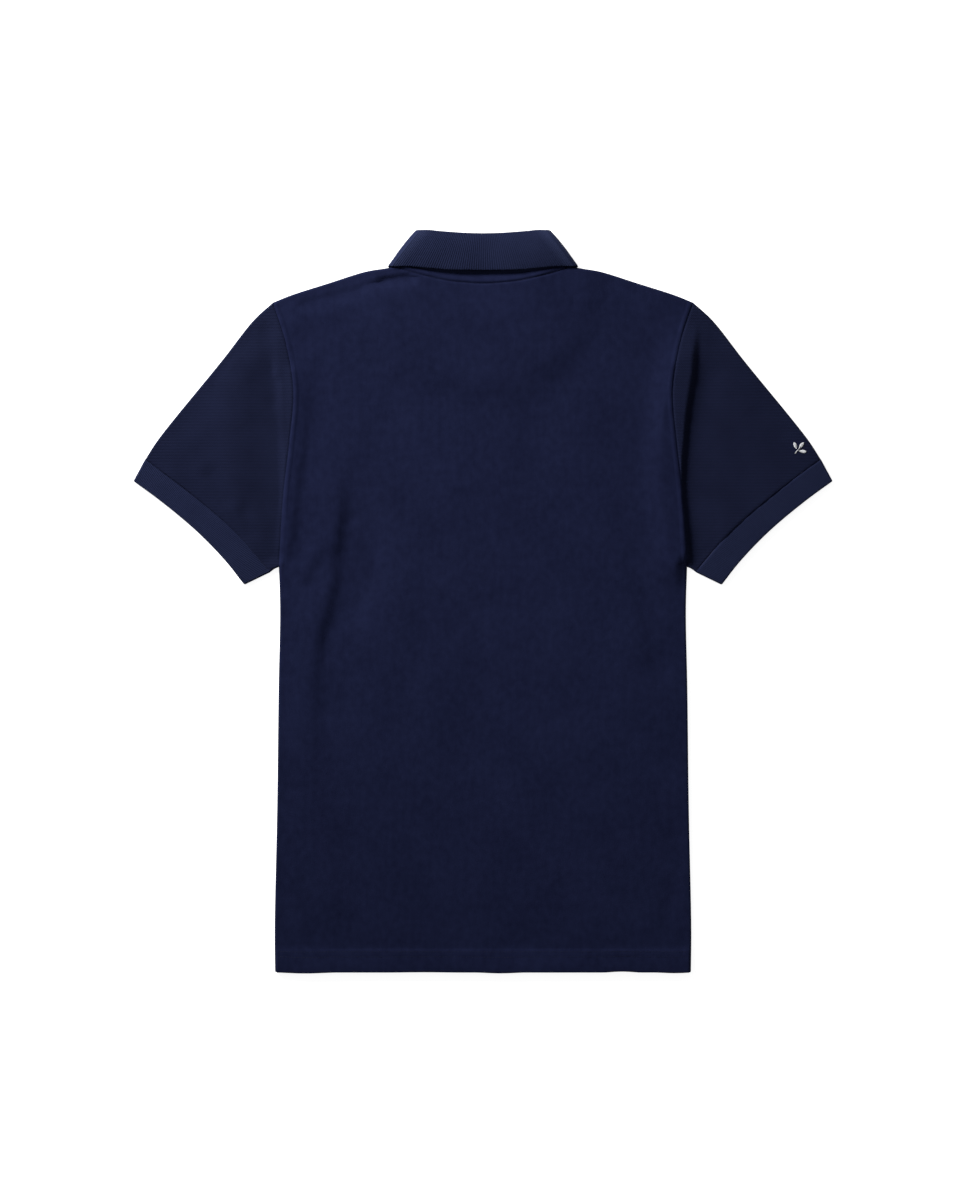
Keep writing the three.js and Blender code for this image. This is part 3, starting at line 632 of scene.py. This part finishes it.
def panelPiece(name, top, edge, upper, material):
    half = len(top["points"]) - 1
    mirror = top["points"] * (-1, 1)
    topRow = np.vstack([mirror, top["points"][:half][::-1]])
    topFolded = np.concatenate([top["folded"], top["folded"][:half][::-1]])
    topLift = np.concatenate([top["lift"], top["lift"][:half][::-1]])
    tip = top["points"][0]
    hemHalf, hemY = edge["points"][0]
    u = ((topRow[:, 0] + tip[0]) / (2 * tip[0]))[None, :]
    v = ((edge["points"][:, 1] - hemY) / (tip[1] - hemY))[:, None]
    edgeX = edge["points"][:, 0][:, None]
    hemX = mix(-hemHalf, hemHalf, u)
    x = mix(hemX, topRow[:, 0][None, :], v) + mix(-edgeX, edgeX, u) - mix(hemX, mix(-tip[0], tip[0], u), v)
    y = mix(hemY, topRow[:, 1][None, :], v) + 0 * x
    for place, reach, move in hemWaves:
        y = y + move * bump((x - place) / reach) * (1 - smoothstep(y - hemY, 0, 30))
    rows, columns = x.shape
    column = np.minimum(np.arange(columns), columns - 1 - np.arange(columns))[None, :]
    fromTop = (rows - 1 - np.arange(rows))[:, None]
    columnLift, rowLift = rollRise(column), rollRise(fromTop)
    sideLift = np.where(edge["folded"][:, None], columnLift, np.maximum(columnLift, edge["lift"][:, None]))
    topLiftAll = np.where(topFolded[None, :], rowLift, np.maximum(rowLift, topLift[None, :]))
    lift = np.minimum(sideLift, topLiftAll)
    lower = lowerLevel(x, y)
    middle = lower + shirt["edgeHeight"] / 2
    turn = rollRadius - shirt["seamGap"] / 2
    sign = 1 if upper else -1
    level = middle + sign * (shirt["seamGap"] / 2 + turn * lift)
    flatLift = lift > 0.999
    level = level + np.where(flatLift, relief(x, y) if upper else frontRelief(x, y), 0)
    points = np.stack([x, y, level], -1)
    facing = gridNormals(points, sign)
    rolled = rollFacing(x, lift, sideLift, topLiftAll, edge, column, sign)
    facing = np.where(flatLift[..., None], facing, rolled)
    innerHalf = (edge["inner"] * edge["rim"])[:, None] + 0 * x
    outerHalf = halfWall * edge["rim"][:, None] + 0 * x
    outer, inner = bothFaces(points, facing, outerHalf, innerHalf)
    return wallMesh(name, outer, inner, np.stack([x, y], -1), material)


def gridNormals(points, sign):
    across = np.gradient(points, axis=1)
    along = np.gradient(points, axis=0)
    facing = np.cross(across, along)
    facing *= np.sign(facing[..., 2:3]) * sign
    return facing / np.maximum(1e-12, np.linalg.norm(facing, axis=-1, keepdims=True))


def rollFacing(x, lift, sideLift, topLift, edge, column, sign):
    sideways = np.sqrt(np.clip(1 - lift ** 2, 0, 1))
    overTop = topLift < sideLift
    flatX = np.where(overTop, np.sign(x) * 0.24, np.sign(x))
    flatY = np.where(overTop, 0.97, 0.0)
    seamEnd = (~overTop) & (~edge["folded"][:, None]) & (column == 0)
    flatX = np.where(seamEnd, 0.0, flatX)
    flatY = np.where(seamEnd, -1.0, flatY)
    return np.stack([flatX * sideways, flatY * sideways, sign * lift], -1)


# The lower layer rests flat; only its stitched lines and edges are worked
def frontRelief(x, y):
    toArmhole = distanceTo(armhole.points[::6], np.abs(x), y)
    return hemLines(y - shirt["hemY"], form["frontHemDepth"]) + raised(toArmhole, form["frontArmhole"])


seamRings = []


# A flattened tube: rings from one seam to another, folded at overarm and underarm
def tubePiece(name, start, end, over, under, rings, wall, side, material, startShift=0.0, rim=False):
    share = 1 - armholeShares()[::-1]
    t = share[None, :, None]
    s = rings[:, None, None]
    startLine, endLine = start.at(share)[None], end.at(share)[None]
    overLine, underLine = over.at(rings)[:, None], under.at(rings)[:, None]
    corners = mix(mix(start.at(0.0), end.at(0.0), s), mix(start.at(1.0), end.at(1.0), s), t)
    chain = mix(startLine, endLine, s) + mix(overLine, underLine, t) - corners
    chain = chain + np.array([startShift, 0]) * (1 - s)
    k = np.arange(len(share))
    fromStart, fromEnd = rollRise(k), rollRise(k[::-1])
    lift = np.minimum(fromStart, fromEnd)[None, :]
    direction = chain[:, -1:] - chain[:, :1]
    direction = direction / np.linalg.norm(direction, axis=-1, keepdims=True)
    flat = np.where((fromStart < fromEnd)[None, :, None], -direction, direction)
    radius = shirt["edgeHeight"] / 2 - wall / 2
    sideways = np.sqrt(np.clip(1 - lift ** 2, 0, 1))
    halves = []
    for sign in (1, -1):
        x, y = side * chain[..., 0], chain[..., 1]
        level = shirt["edgeHeight"] / 2 + sign * radius * lift + 0 * x
        if sign > 0:
            shown = ribRelief(x, y) if rim else relief(x, y)
            level = level + np.where(lift > 0.999, shown, 0)
        points = np.stack([x, y, level], -1)
        facing = np.where((lift > 0.999)[..., None], gridNormals(points, sign), np.stack(
            [side * flat[..., 0] * sideways, flat[..., 1] * sideways, sign * lift + 0 * x], -1))
        halves.append((points, facing))
    points = np.concatenate([halves[0][0], halves[1][0][:, -2:0:-1]], 1)
    facing = np.concatenate([halves[0][1], halves[1][1][:, -2:0:-1]], 1)
    taper = np.ones(len(rings))
    if rim:
        taper[-3:] = (1, 0.8, 0.4)
    half = (wall / 2 * taper)[:, None] + 0 * points[..., 0]
    outer, inner = bothFaces(points, facing, half, half)
    seamRings.append(np.vstack([points[0], points[0][:1]]))
    # The sleeve's courses run level across it, and the cuff's ribs run along the strip
    if not rim:
        return wallMesh(name, outer, inner, points[..., :2], material, wrapped=True)
    run = runAlong(chain[:, len(share) // 2])
    around = np.concatenate([share, 2 - share[-2:0:-1]]) * start.length
    clothMap = np.stack([np.tile(around, (len(rings), 1)), np.tile(run[:, None], (1, points.shape[1]))], -1)
    return wallMesh(name, outer, inner, clothMap, material, wrapped=True)


def ribRelief(x, y):
    ends = [Seam([shirt["cuffSeam"][k], shirt["cuffEdge"][k]]).points[::10] for k in (0, -1)]
    inside = np.minimum(*(distanceTo(end, np.abs(x), y) for end in ends))
    loft = 0.7 * smoothstep(inside, 2, 30)
    ripple = 0.14 * np.sin((x * 0.7 + y) * 0.33) * smoothstep(inside, 2, 12)
    return loft + ripple + pressed(distanceTo(cuffSeam.points[::12], np.abs(x), y), form["cuffLine"])


edgeRows = panelEdge()
backTop = panelTop([(x, y - shirt["seamGap"]) for x, y in collarBack["seam"][4::-1]], fine["neck"])
back = panelPiece("backCloth", backTop, edgeRows, True, jersey)
print("back ready")


# Cuts the front open where the placket lies
def openPlacket(piece):
    low = (-placket["width"] / 2, placket["neckline"] - placket["length"], -5)
    high = (placket["width"] / 2, placket["neckline"] + 30, 40)
    span = list(zip(low, high))
    corners = [(x * mm, y * mm, z * mm) for x in span[0] for y in span[1] for z in span[2]]
    sides = [(0, 1, 3, 2), (4, 6, 7, 5), (0, 4, 5, 1), (2, 3, 7, 6), (0, 2, 6, 4), (1, 5, 7, 3)]
    mesh = bpy.data.meshes.new("cutter")
    mesh.from_pydata(corners, [], sides)
    cutter = addObject("cutter", mesh)
    cut = piece.modifiers.new("cut", "BOOLEAN")
    cut.operation = "DIFFERENCE"
    cut.object = cutter
    cut.solver = "EXACT"
    bakeModifiers(piece)
    bpy.data.objects.remove(cutter)


def bakeModifiers(piece):
    shown = bpy.context.evaluated_depsgraph_get()
    mesh = bpy.data.meshes.new_from_object(piece.evaluated_get(shown))
    mesh.name = piece.name
    piece.modifiers.clear()
    piece.data = mesh


placket = {
    "width": 30.0, "length": 160.0, "neckline": 263.3, "bandWidth": 29.4, "underWidth": 27.0, "wall": 1.4,
    "top": 263.0, "gap": 0.6, "corner": 0.8, "rim": 0.5, "lower": 1.7,
}
frontTop = panelTop(collarFront["seam"][1:5] + [(0, placket["neckline"] - 0.1)], fine["frontNeck"])
front = panelPiece("frontCloth", frontTop, edgeRows, False, jersey)
openPlacket(front)
print("front ready")

sleeveSides = {"Left": -1, "Right": 1}
cuffShares = np.array([
    0, 0.03, 0.06, 0.09, 0.13, 0.18, 0.25, 0.34, 0.45, 0.57, 0.69, 0.80, 0.89, 0.95, 0.985, 1.0,
])
sleeves, cuffs = {}, {}
armSeam = Seam(shirt["armhole"][::-1])
cuffShift = (0.62 * shirt["seamGap"], -0.78 * shirt["seamGap"])
for label, side in sleeveSides.items():
    sleeves[label] = tubePiece(
        f"sleeve{label}Cloth", armSeam, cuffSeam, overarm, underarm, ringShares, shirt["clothWall"], side,
        pique, startShift=shirt["seamGap"] / 2)
    moved = [(x + cuffShift[0], y + cuffShift[1]) for x, y in shirt["cuffSeam"]]
    cuffs[label] = tubePiece(
        f"cuff{label}Rib", Seam(moved), Seam(shirt["cuffEdge"]), Seam([moved[0], shirt["cuffEdge"][0]]),
        Seam([moved[-1], shirt["cuffEdge"][-1]]), cuffShares, shirt["ribWall"], side, rib, rim=True)
print("sleeves and cuffs ready")

# Collar: one rib strip, up the stand, over the roll and down the leaf, carried round the neck
collar = {
    "outward": (0.793, 0.609), "hollow": 0.8, "leafSpace": 0.8, "leafMiddle": 4.0,
    "leafLift": 2.6, "liftReach": 90.0, "halfNeck": 82.0, "crown": 2.2, "edgeRipple": 0.25, "rippleTurn": 0.19,
    "standSteps": 10, "rollSteps": 10, "leafSteps": 14, "lastStep": 0.014,
    "backStations": 34, "turnStations": 16, "frontStations": 30, "rim": (0.9, 0.75, 0.6, 0.44, 0.28, 0.14),
}


def collarStation(seam, roll, edge, turn, lift, side, run):
    half = shirt["ribWall"] / 2
    rollHalf = (shirt["ribWall"] + collar["leafSpace"]) / 2
    seam, roll, edge = (np.array([side * p[0], p[1], 0.0]) for p in (seam, roll, edge))
    up = (roll - seam) / np.linalg.norm(roll - seam)
    outX, outY = collar["outward"]
    away = np.array([side * outX * math.sin(turn), outY * math.sin(turn), math.cos(turn)])
    above = max(0.0, math.cos(turn))
    base = np.array([0, 0, shirt["collarMid"]])
    points, facing = [], []
    for k in range(collar["standSteps"]):
        points.append(base + mix(seam, roll, k / collar["standSteps"]) + away * (collar["hollow"] + half))
        facing.append(-away)
    for angle in np.linspace(0, math.pi, collar["rollSteps"]):
        offset = collar["hollow"] + half + rollHalf * (1 - math.cos(angle))
        points.append(base + roll + up * rollHalf * math.sin(angle) + away * offset)
        facing.append(-away * math.cos(angle) + up * math.sin(angle))
    for k in range(1, collar["leafSteps"] + 1):
        t = k / collar["leafSteps"]
        t = t if k < collar["leafSteps"] - 3 else 1 - (collar["leafSteps"] - k) * collar["lastStep"]
        crown = collar["crown"] * math.sin(math.pi * t ** 0.75) * above
        spot = base + mix(roll, edge, t) + away * (collar["hollow"] + half + 2 * rollHalf + crown)
        ripple = collar["edgeRipple"] * t * math.sin(run * collar["rippleTurn"]) * above
        points.append(spot + np.array([0, 0, lift * t * t + ripple]))
        facing.append(away)
    points, facing = np.array(points), np.array(facing)
    if math.cos(turn) > 0.99:
        points[:, 2] -= neckSag(points[:, 0], points[:, 1])
    return points, facing, runAlong(points)


def collarPiece():
    backLines = [Seam(rows) for rows in collarBack.values()]
    frontLines = [Seam(rows) for rows in collarFront.values()]
    stations = []
    for share in np.linspace(0, 1, collar["backStations"], endpoint=False):
        lift = collar["leafLift"] * float(bump(share * collar["halfNeck"] / collar["liftReach"]))
        stations.append((*(line.at(share) for line in backLines), 0.0, lift))
    for k in range(collar["turnStations"] + 1):
        share = k / collar["turnStations"]
        roll, edge = (mix(np.array(collarBack[key][-1]), np.array(collarFront[key][0]), min(1.0, 2 * share))
                      for key in ("roll", "edge"))
        stations.append((collarBack["seam"][-1], roll, edge, math.pi * share, 0.0))
    for share in np.linspace(0, 1, collar["frontStations"] + 1)[1:]:
        stations.append((*(line.at(share) for line in frontLines), math.pi, 0.0))
    rows = [(-1, station) for station in stations[:0:-1]] + [(1, station) for station in stations]
    run, last = 0.0, None
    outer, inner, clothMap = [], [], []
    for side, (seam, roll, edge, turn, lift) in rows:
        here = np.array([side * roll[0], roll[1], shirt["collarMid"] + collar["leafMiddle"] * math.cos(turn)])
        run += 0.0 if last is None else float(np.linalg.norm(here - last))
        last = here
        points, facing, length = collarStation(seam, roll, edge, turn, lift, side, run)
        half = np.full(len(points), shirt["ribWall"] / 2)
        half[-len(collar["rim"]):] *= collar["rim"]
        above, under = bothFaces(points, facing, half, half)
        outer.append(above)
        inner.append(under)
        clothMap.append(np.stack([np.full(len(points), run), length], -1))
    return wallMesh("collarRib", np.array(outer), np.array(inner), np.array(clothMap), collarKnit)


collarRib = collarPiece()
print("collar ready")


# A tape covers the back neck seam inside
tape = {"reach": 68.0, "above": 1.6, "below": 8.6, "face": 5.45, "thickness": 0.4, "columns": 60, "rows": 8}


def neckTapePiece():
    along = np.linspace(-tape["reach"], tape["reach"], tape["columns"])
    across = np.linspace(-tape["below"], tape["above"], tape["rows"])
    x, y = np.meshgrid(along, across)
    y = y + np.interp(np.abs(x), backNeck.points[:, 0], backNeck.points[:, 1])
    lowSide = np.stack([x, y, tape["face"] - neckSag(x, y)], -1)
    return wallMesh("neckTape", lowSide + (0, 0, tape["thickness"]), lowSide, lowSide[..., :2], rib)


neckTape = neckTapePiece()


# A flat strip with rounded rims, for the placket bands
def bandPiece(name, width, length, level):
    half, top, cut, rim, wall = width / 2, placket["top"], placket["corner"], placket["rim"], placket["wall"]
    bottom = top - length + placket["gap"]
    outline = np.array([
        (-half, top), (-half, bottom + cut), (-half + cut, bottom),
        (half - cut, bottom), (half, bottom + cut), (half, top),
    ])
    centre = np.array([0, (top + bottom) / 2])
    rings = []
    for inset, height in (
        (rim, 0), (rim * 0.3, rim * 0.3), (0, rim), (0, wall - rim), (rim * 0.3, wall - rim * 0.3), (rim, wall),
    ):
        shrink = np.array([1 - inset / half, 1 - inset / (length / 2)])
        ring = (outline - centre) * shrink + centre
        rings.append(np.column_stack([ring, np.full(len(outline), level + height)]))
    points = np.vstack(rings) * mm
    count = len(outline)
    faces = []
    for start in range(0, len(points) - count, count):
        for k in range(count):
            n = (k + 1) % count
            faces.append([start + k, start + count + k, start + count + n, start + n])
    faces += [list(range(count)), list(range(len(points) - count, len(points)))[::-1]]
    return makeMesh(name, points, faces, points[:, :2], jersey, smooth=False)


upperBand = bandPiece("placketUpperCloth", placket["bandWidth"], placket["length"], shirt["frontLevel"])
lowerBand = bandPiece("placketLowerCloth", placket["underWidth"], placket["length"] - 2,
                      shirt["frontLevel"] + placket["lower"])
print("placket ready")


# What both kinds of thread share: a path comes in, and a painted mesh goes out
def threadNodes(name, sizes):
    tree = bpy.data.node_groups.new(name, "GeometryNodeTree")
    for socket, kind in [("Geometry", "Geometry"), *((size, "Float") for size in sizes), ("Thread", "Material")]:
        tree.interface.new_socket(socket, in_out="INPUT", socket_type="NodeSocket" + kind)
    tree.interface.new_socket("Geometry", in_out="OUTPUT", socket_type="NodeSocketGeometry")
    new, link = tree.nodes.new, tree.links.new
    source, result = new("NodeGroupInput"), new("NodeGroupOutput")
    line = new("GeometryNodeMeshToCurve")
    real, paint = new("GeometryNodeRealizeInstances"), new("GeometryNodeSetMaterial")
    link(source.outputs["Geometry"], line.inputs[0])
    link(real.outputs[0], paint.inputs["Geometry"])
    link(source.outputs["Thread"], paint.inputs["Material"])
    link(paint.outputs[0], result.inputs[0])
    return tree, source.outputs, line.outputs[0], real.inputs[0]


# Stitches: small beads of thread set at even steps along a path
def stitchTree():
    tree, sizes, line, made = threadNodes("stitchRow", ("Pitch", "Length", "Thickness"))
    new, link = tree.nodes.new, tree.links.new
    spots, place = new("GeometryNodeCurveToPoints"), new("GeometryNodeInstanceOnPoints")
    bead, shape = new("GeometryNodeMeshUVSphere"), new("GeometryNodeTransform")
    size = new("ShaderNodeCombineXYZ")
    spots.mode = "LENGTH"
    link(line, spots.inputs["Curve"])
    link(sizes["Pitch"], spots.inputs["Length"])
    for name, value in (("Segments", 8), ("Rings", 6), ("Radius", 0.5)):
        bead.inputs[name].default_value = value
    for k, name in enumerate(("Thickness", "Thickness", "Length")):
        link(sizes[name], size.inputs[k])
    link(bead.outputs[0], shape.inputs["Geometry"])
    link(size.outputs[0], shape.inputs["Scale"])
    link(spots.outputs["Points"], place.inputs["Points"])
    link(spots.outputs["Rotation"], place.inputs["Rotation"])
    link(shape.outputs[0], place.inputs["Instance"])
    link(place.outputs[0], made)
    return tree


# Round threads laid along paths
def threadTree():
    tree, sizes, line, made = threadNodes("laidThread", ("Thickness",))
    new, link = tree.nodes.new, tree.links.new
    ring, tube = new("GeometryNodeCurvePrimitiveCircle"), new("GeometryNodeCurveToMesh")
    half = new("ShaderNodeMath")
    ring.inputs["Resolution"].default_value = 6
    half.operation = "MULTIPLY"
    half.inputs[1].default_value = 0.5
    tube.inputs["Fill Caps"].default_value = True
    link(sizes["Thickness"], half.inputs[0])
    link(half.outputs[0], ring.inputs["Radius"])
    link(line, tube.inputs["Curve"])
    link(ring.outputs[0], tube.inputs["Profile Curve"])
    link(tube.outputs[0], made)
    return tree


stitches = {
    "bead": {"Pitch": 3.0, "Length": 2.5, "Thickness": 0.5}, "sink": 0.02, "under": 0.32,
    "hemReach": 206, "hemPoints": 240, "inset": 2.6, "level": 2.76, "boxHeight": 24.0, "boxFoot": 106.4,
}
stitchRow = stitchTree()
laidThread = threadTree()


# Lays thread along one or more paths of points, all in millimetres
def layThread(name, paths, tree, thread, sizes):
    points, edges = [], []
    for path in paths:
        first = len(points)
        points += (np.asarray(path) * mm).tolist()
        edges += [(first + k, first + k + 1) for k in range(len(path) - 1)]
    mesh = bpy.data.meshes.new(name)
    mesh.from_pydata(points, edges, [])
    piece = addObject(name, mesh)
    row = piece.modifiers.new(tree.name, "NODES")
    row.node_group = tree
    for item in tree.interface.items_tree:
        if item.in_out == "INPUT" and item.name in sizes:
            row[item.identifier] = sizes[item.name] * mm
        elif item.in_out == "INPUT" and item.name == "Thread":
            row[item.identifier] = thread
    bakeModifiers(piece)
    return piece


def sew(name, paths):
    return layThread(name, paths, stitchRow, navyThread, stitches["bead"])


# Paths along the top of the upper layer, and along the underside of the lower one
def onTop(xy, rise=stitches["sink"]):
    return np.column_stack([xy, topHeight(xy[:, 0], xy[:, 1]) + rise])


def below(xy):
    return np.column_stack([xy, lowerLevel(xy[:, 0], xy[:, 1]) + stitches["under"]])


def hemLine(above):
    x = np.linspace(-stitches["hemReach"], stitches["hemReach"], stitches["hemPoints"])
    y = np.full_like(x, shirt["hemY"] + above)
    for place, reach, move in hemWaves:
        y = y + move * bump((x - place) / reach) * (1 - smoothstep(above, 0, 30))
    return np.column_stack([x, y])


# Points along straight runs, a millimetre apart
def straightRun(rows, level):
    out = []
    for a, b in zip(rows[:-1], rows[1:]):
        count = max(2, int(math.dist(a, b)))
        out += [(mix(a[0], b[0], k / count), mix(a[1], b[1], k / count), level) for k in range(count)]
    return out + [(*rows[-1], level)]


# The placket's edges, and the box that closes it at the bottom
def placketPaths():
    half = placket["bandWidth"] / 2 - stitches["inset"]
    top, bottom = placket["top"] - 2, stitches["boxFoot"]
    boxTop = bottom + stitches["boxHeight"]
    edges = [(-half, top), (-half, bottom), (half, bottom), (half, top)]
    return [straightRun(rows, stitches["level"]) for rows in (edges, [(-half, boxTop), (half, boxTop)])]


rightNeck = neckStitch.at(np.linspace(0, 0.97, 60))
neckPath = np.vstack([rightNeck[::-1] * (-1, 1), rightNeck[1:]])
hemRows = [hemLine(above) for above in form["hemRows"]]
sewn = [
    sew("placketStitches", placketPaths()), sew("neckStitches", [onTop(neckPath)]),
    sew("hemStitches", [onTop(row) for row in hemRows] + [below(row) for row in hemRows]),
]
print("stitches ready")

# A small generic sprig of three leaves, filled with satin stitch, on the right sleeve
sprig = {
    "centre": (321.5, 154.5), "turn": -38.0, "leafLength": 7.4, "leafWidth": 3.0, "threads": 17, "thread": 0.42,
    "leaves": [(0.0, 1.6, 0.0), (-1.6, -0.6, 58.0), (1.6, -0.6, -58.0)], "slant": 0.9, "rise": 0.25,
    "swell": 0.35, "stem": (-5.2, 1.6, 12), "stemHalf": 0.25, "stemRise": 0.3,
}


# Turns a flat drawing by some degrees, then moves it
def placed(points, degrees, move):
    c, s = math.cos(math.radians(degrees)), math.sin(math.radians(degrees))
    return points @ np.array([[c, s], [-s, c]]) + np.array(move)


def sprigPaths():
    paths = []
    across = np.linspace(-1, 1, 5)
    height = sprig["rise"] + sprig["swell"] * (1 - across ** 2)
    for baseX, baseY, lean in sprig["leaves"]:
        for k in range(sprig["threads"]):
            t = (k + 0.5) / sprig["threads"]
            reach = sprig["leafWidth"] / 2 * math.sin(math.pi * t ** 0.8) ** 0.8
            up = t * sprig["leafLength"] + sprig["slant"] * np.abs(across) * reach
            leaf = placed(np.column_stack([across * reach, up]), lean, (baseX, baseY))
            paths.append(onTop(placed(leaf, sprig["turn"], sprig["centre"]), height))
    along = np.linspace(*sprig["stem"])
    stem = placed(np.column_stack([0 * along, along]), sprig["turn"], sprig["centre"])
    for shift in (-sprig["stemHalf"], sprig["stemHalf"]):
        paths.append(onTop(stem, sprig["stemRise"]) + (shift, 0, 0))
    return paths


# Buttons are sewn through their holes, and each buttonhole is bound with thread
buttons = {
    "drops": (11.0, 59.0, 107.0), "holePitch": 2.6, "holeLevel": 1.3, "dishLevel": 0.62, "threadGap": 0.2,
    "bandFace": 2.74, "bandEdge": 2.86, "holeLength": 14.5, "holeWidth": 2.6, "bindingStep": 0.42,
    "barWidth": 1.25,
}


def buttonThreads():
    crosses, bindings = [], []
    reach, gap, start = buttons["holePitch"] / 2, buttons["threadGap"], buttons["holeLength"] / 2
    face, edge, low, high = buttons["bandFace"], buttons["bandEdge"], buttons["dishLevel"], buttons["holeLevel"]
    count = int(buttons["holeLength"] / buttons["bindingStep"])
    for drop in buttons["drops"]:
        y = placket["neckline"] - drop
        for x in (-reach - gap, -reach + gap, reach - gap, reach + gap):
            ends = [(y - reach, high), (y - reach * 0.8, low), (y + reach * 0.8, low), (y + reach, high)]
            crosses.append([(x, along, level) for along, level in ends])
        for k in range(count + 1):
            along = y - start + k * buttons["bindingStep"]
            wide = buttons["holeWidth"] / 2 * (1.0 if 1 < k < count - 1 else buttons["barWidth"])
            ends = [(-wide, edge), (-wide * 0.6, face), (wide * 0.6, face), (wide, edge)]
            bindings.append([(x, along, level) for x, level in ends])
    return crosses, bindings


crosses, bindings = buttonThreads()
sewn += [
    layThread("seamThread", seamRings, laidThread, navyThread, {"Thickness": 0.9}),
    layThread("buttonThread", crosses, laidThread, navyThread, {"Thickness": 0.4}),
    layThread("buttonholeThread", bindings, laidThread, navyThread, {"Thickness": 0.4}),
]
sprigThread = layThread("sleeveSprig", sprigPaths(), laidThread, whiteThread, {"Thickness": sprig["thread"]})
print("sprig ready")

# Rides and replaced solids, and the buttons' plastic
replaced = [
    (back, "back_panel", "body_knit"), (front, "front_panel", "body_knit"), (collarRib, "collar", "rib_knit"),
    (sleeves["Left"], "sleeve_left", "sleeve_knit"), (sleeves["Right"], "sleeve_right", "sleeve_knit"),
    (cuffs["Left"], "cuff_left", "rib_knit"), (cuffs["Right"], "cuff_right", "rib_knit"),
    (upperBand, "placket_upper", "body_knit"), (lowerBand, "placket_lower", "body_knit"),
]
for piece, node, slot in replaced:
    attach(piece, "root")
    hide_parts(node)
for piece in sewn:
    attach(piece, "root")
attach(neckTape, "root")
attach(sprigThread, "root")
for k in (1, 2, 3):
    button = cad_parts[f"button_{k}"].data
    button.materials.clear()
    button.materials.append(buttonPlastic)


# Pale floor, lit from within like a light table, and soft studio light from the upper left
studio = {
    "floorSize": 6.0, "floorColour": (0.93, 0.93, 0.93, 1), "floorGlow": 0.82, "white": (1, 1, 1, 1),
    "world": 0.205, "place": (-1.53, 1.64, 1.1), "aim": (0.01, 0.105, 0), "lampSize": 0.8, "power": 10.3,
    "spread": 50.0,
}


def makeStudio():
    size = studio["floorSize"] / 2
    mesh = bpy.data.meshes.new("floor")
    corners = [(-size, -size, 0), (size, -size, 0), (size, size, 0), (-size, size, 0)]
    mesh.from_pydata(corners, [], [(0, 1, 2, 3)])
    paint = bpy.data.materials.new("paleFloor")
    paint.use_nodes = True
    shader = paint.node_tree.nodes["Principled BSDF"].inputs
    shader["Base Color"].default_value = studio["floorColour"]
    shader["Roughness"].default_value = 0.9
    shader["Emission Color"].default_value = studio["white"]
    shader["Emission Strength"].default_value = studio["floorGlow"]
    mesh.materials.append(paint)
    addObject("floor", mesh)
    world = bpy.context.scene.world or bpy.data.worlds.new("world")
    bpy.context.scene.world = world
    world.use_nodes = True
    sky = world.node_tree.nodes["Background"].inputs
    sky[0].default_value = studio["white"]
    sky[1].default_value = studio["world"]
    light = bpy.data.lights.new("key", "AREA")
    light.size = studio["lampSize"]
    light.energy = studio["power"]
    light.spread = math.radians(studio["spread"])
    lamp = addObject("key", light)
    lamp.location = studio["place"]
    lamp.rotation_euler = (Vector(studio["aim"]) - lamp.location).to_track_quat("-Z", "Y").to_euler()
    bpy.context.scene.view_settings.view_transform = "Standard"


makeStudio()
print("studio ready")
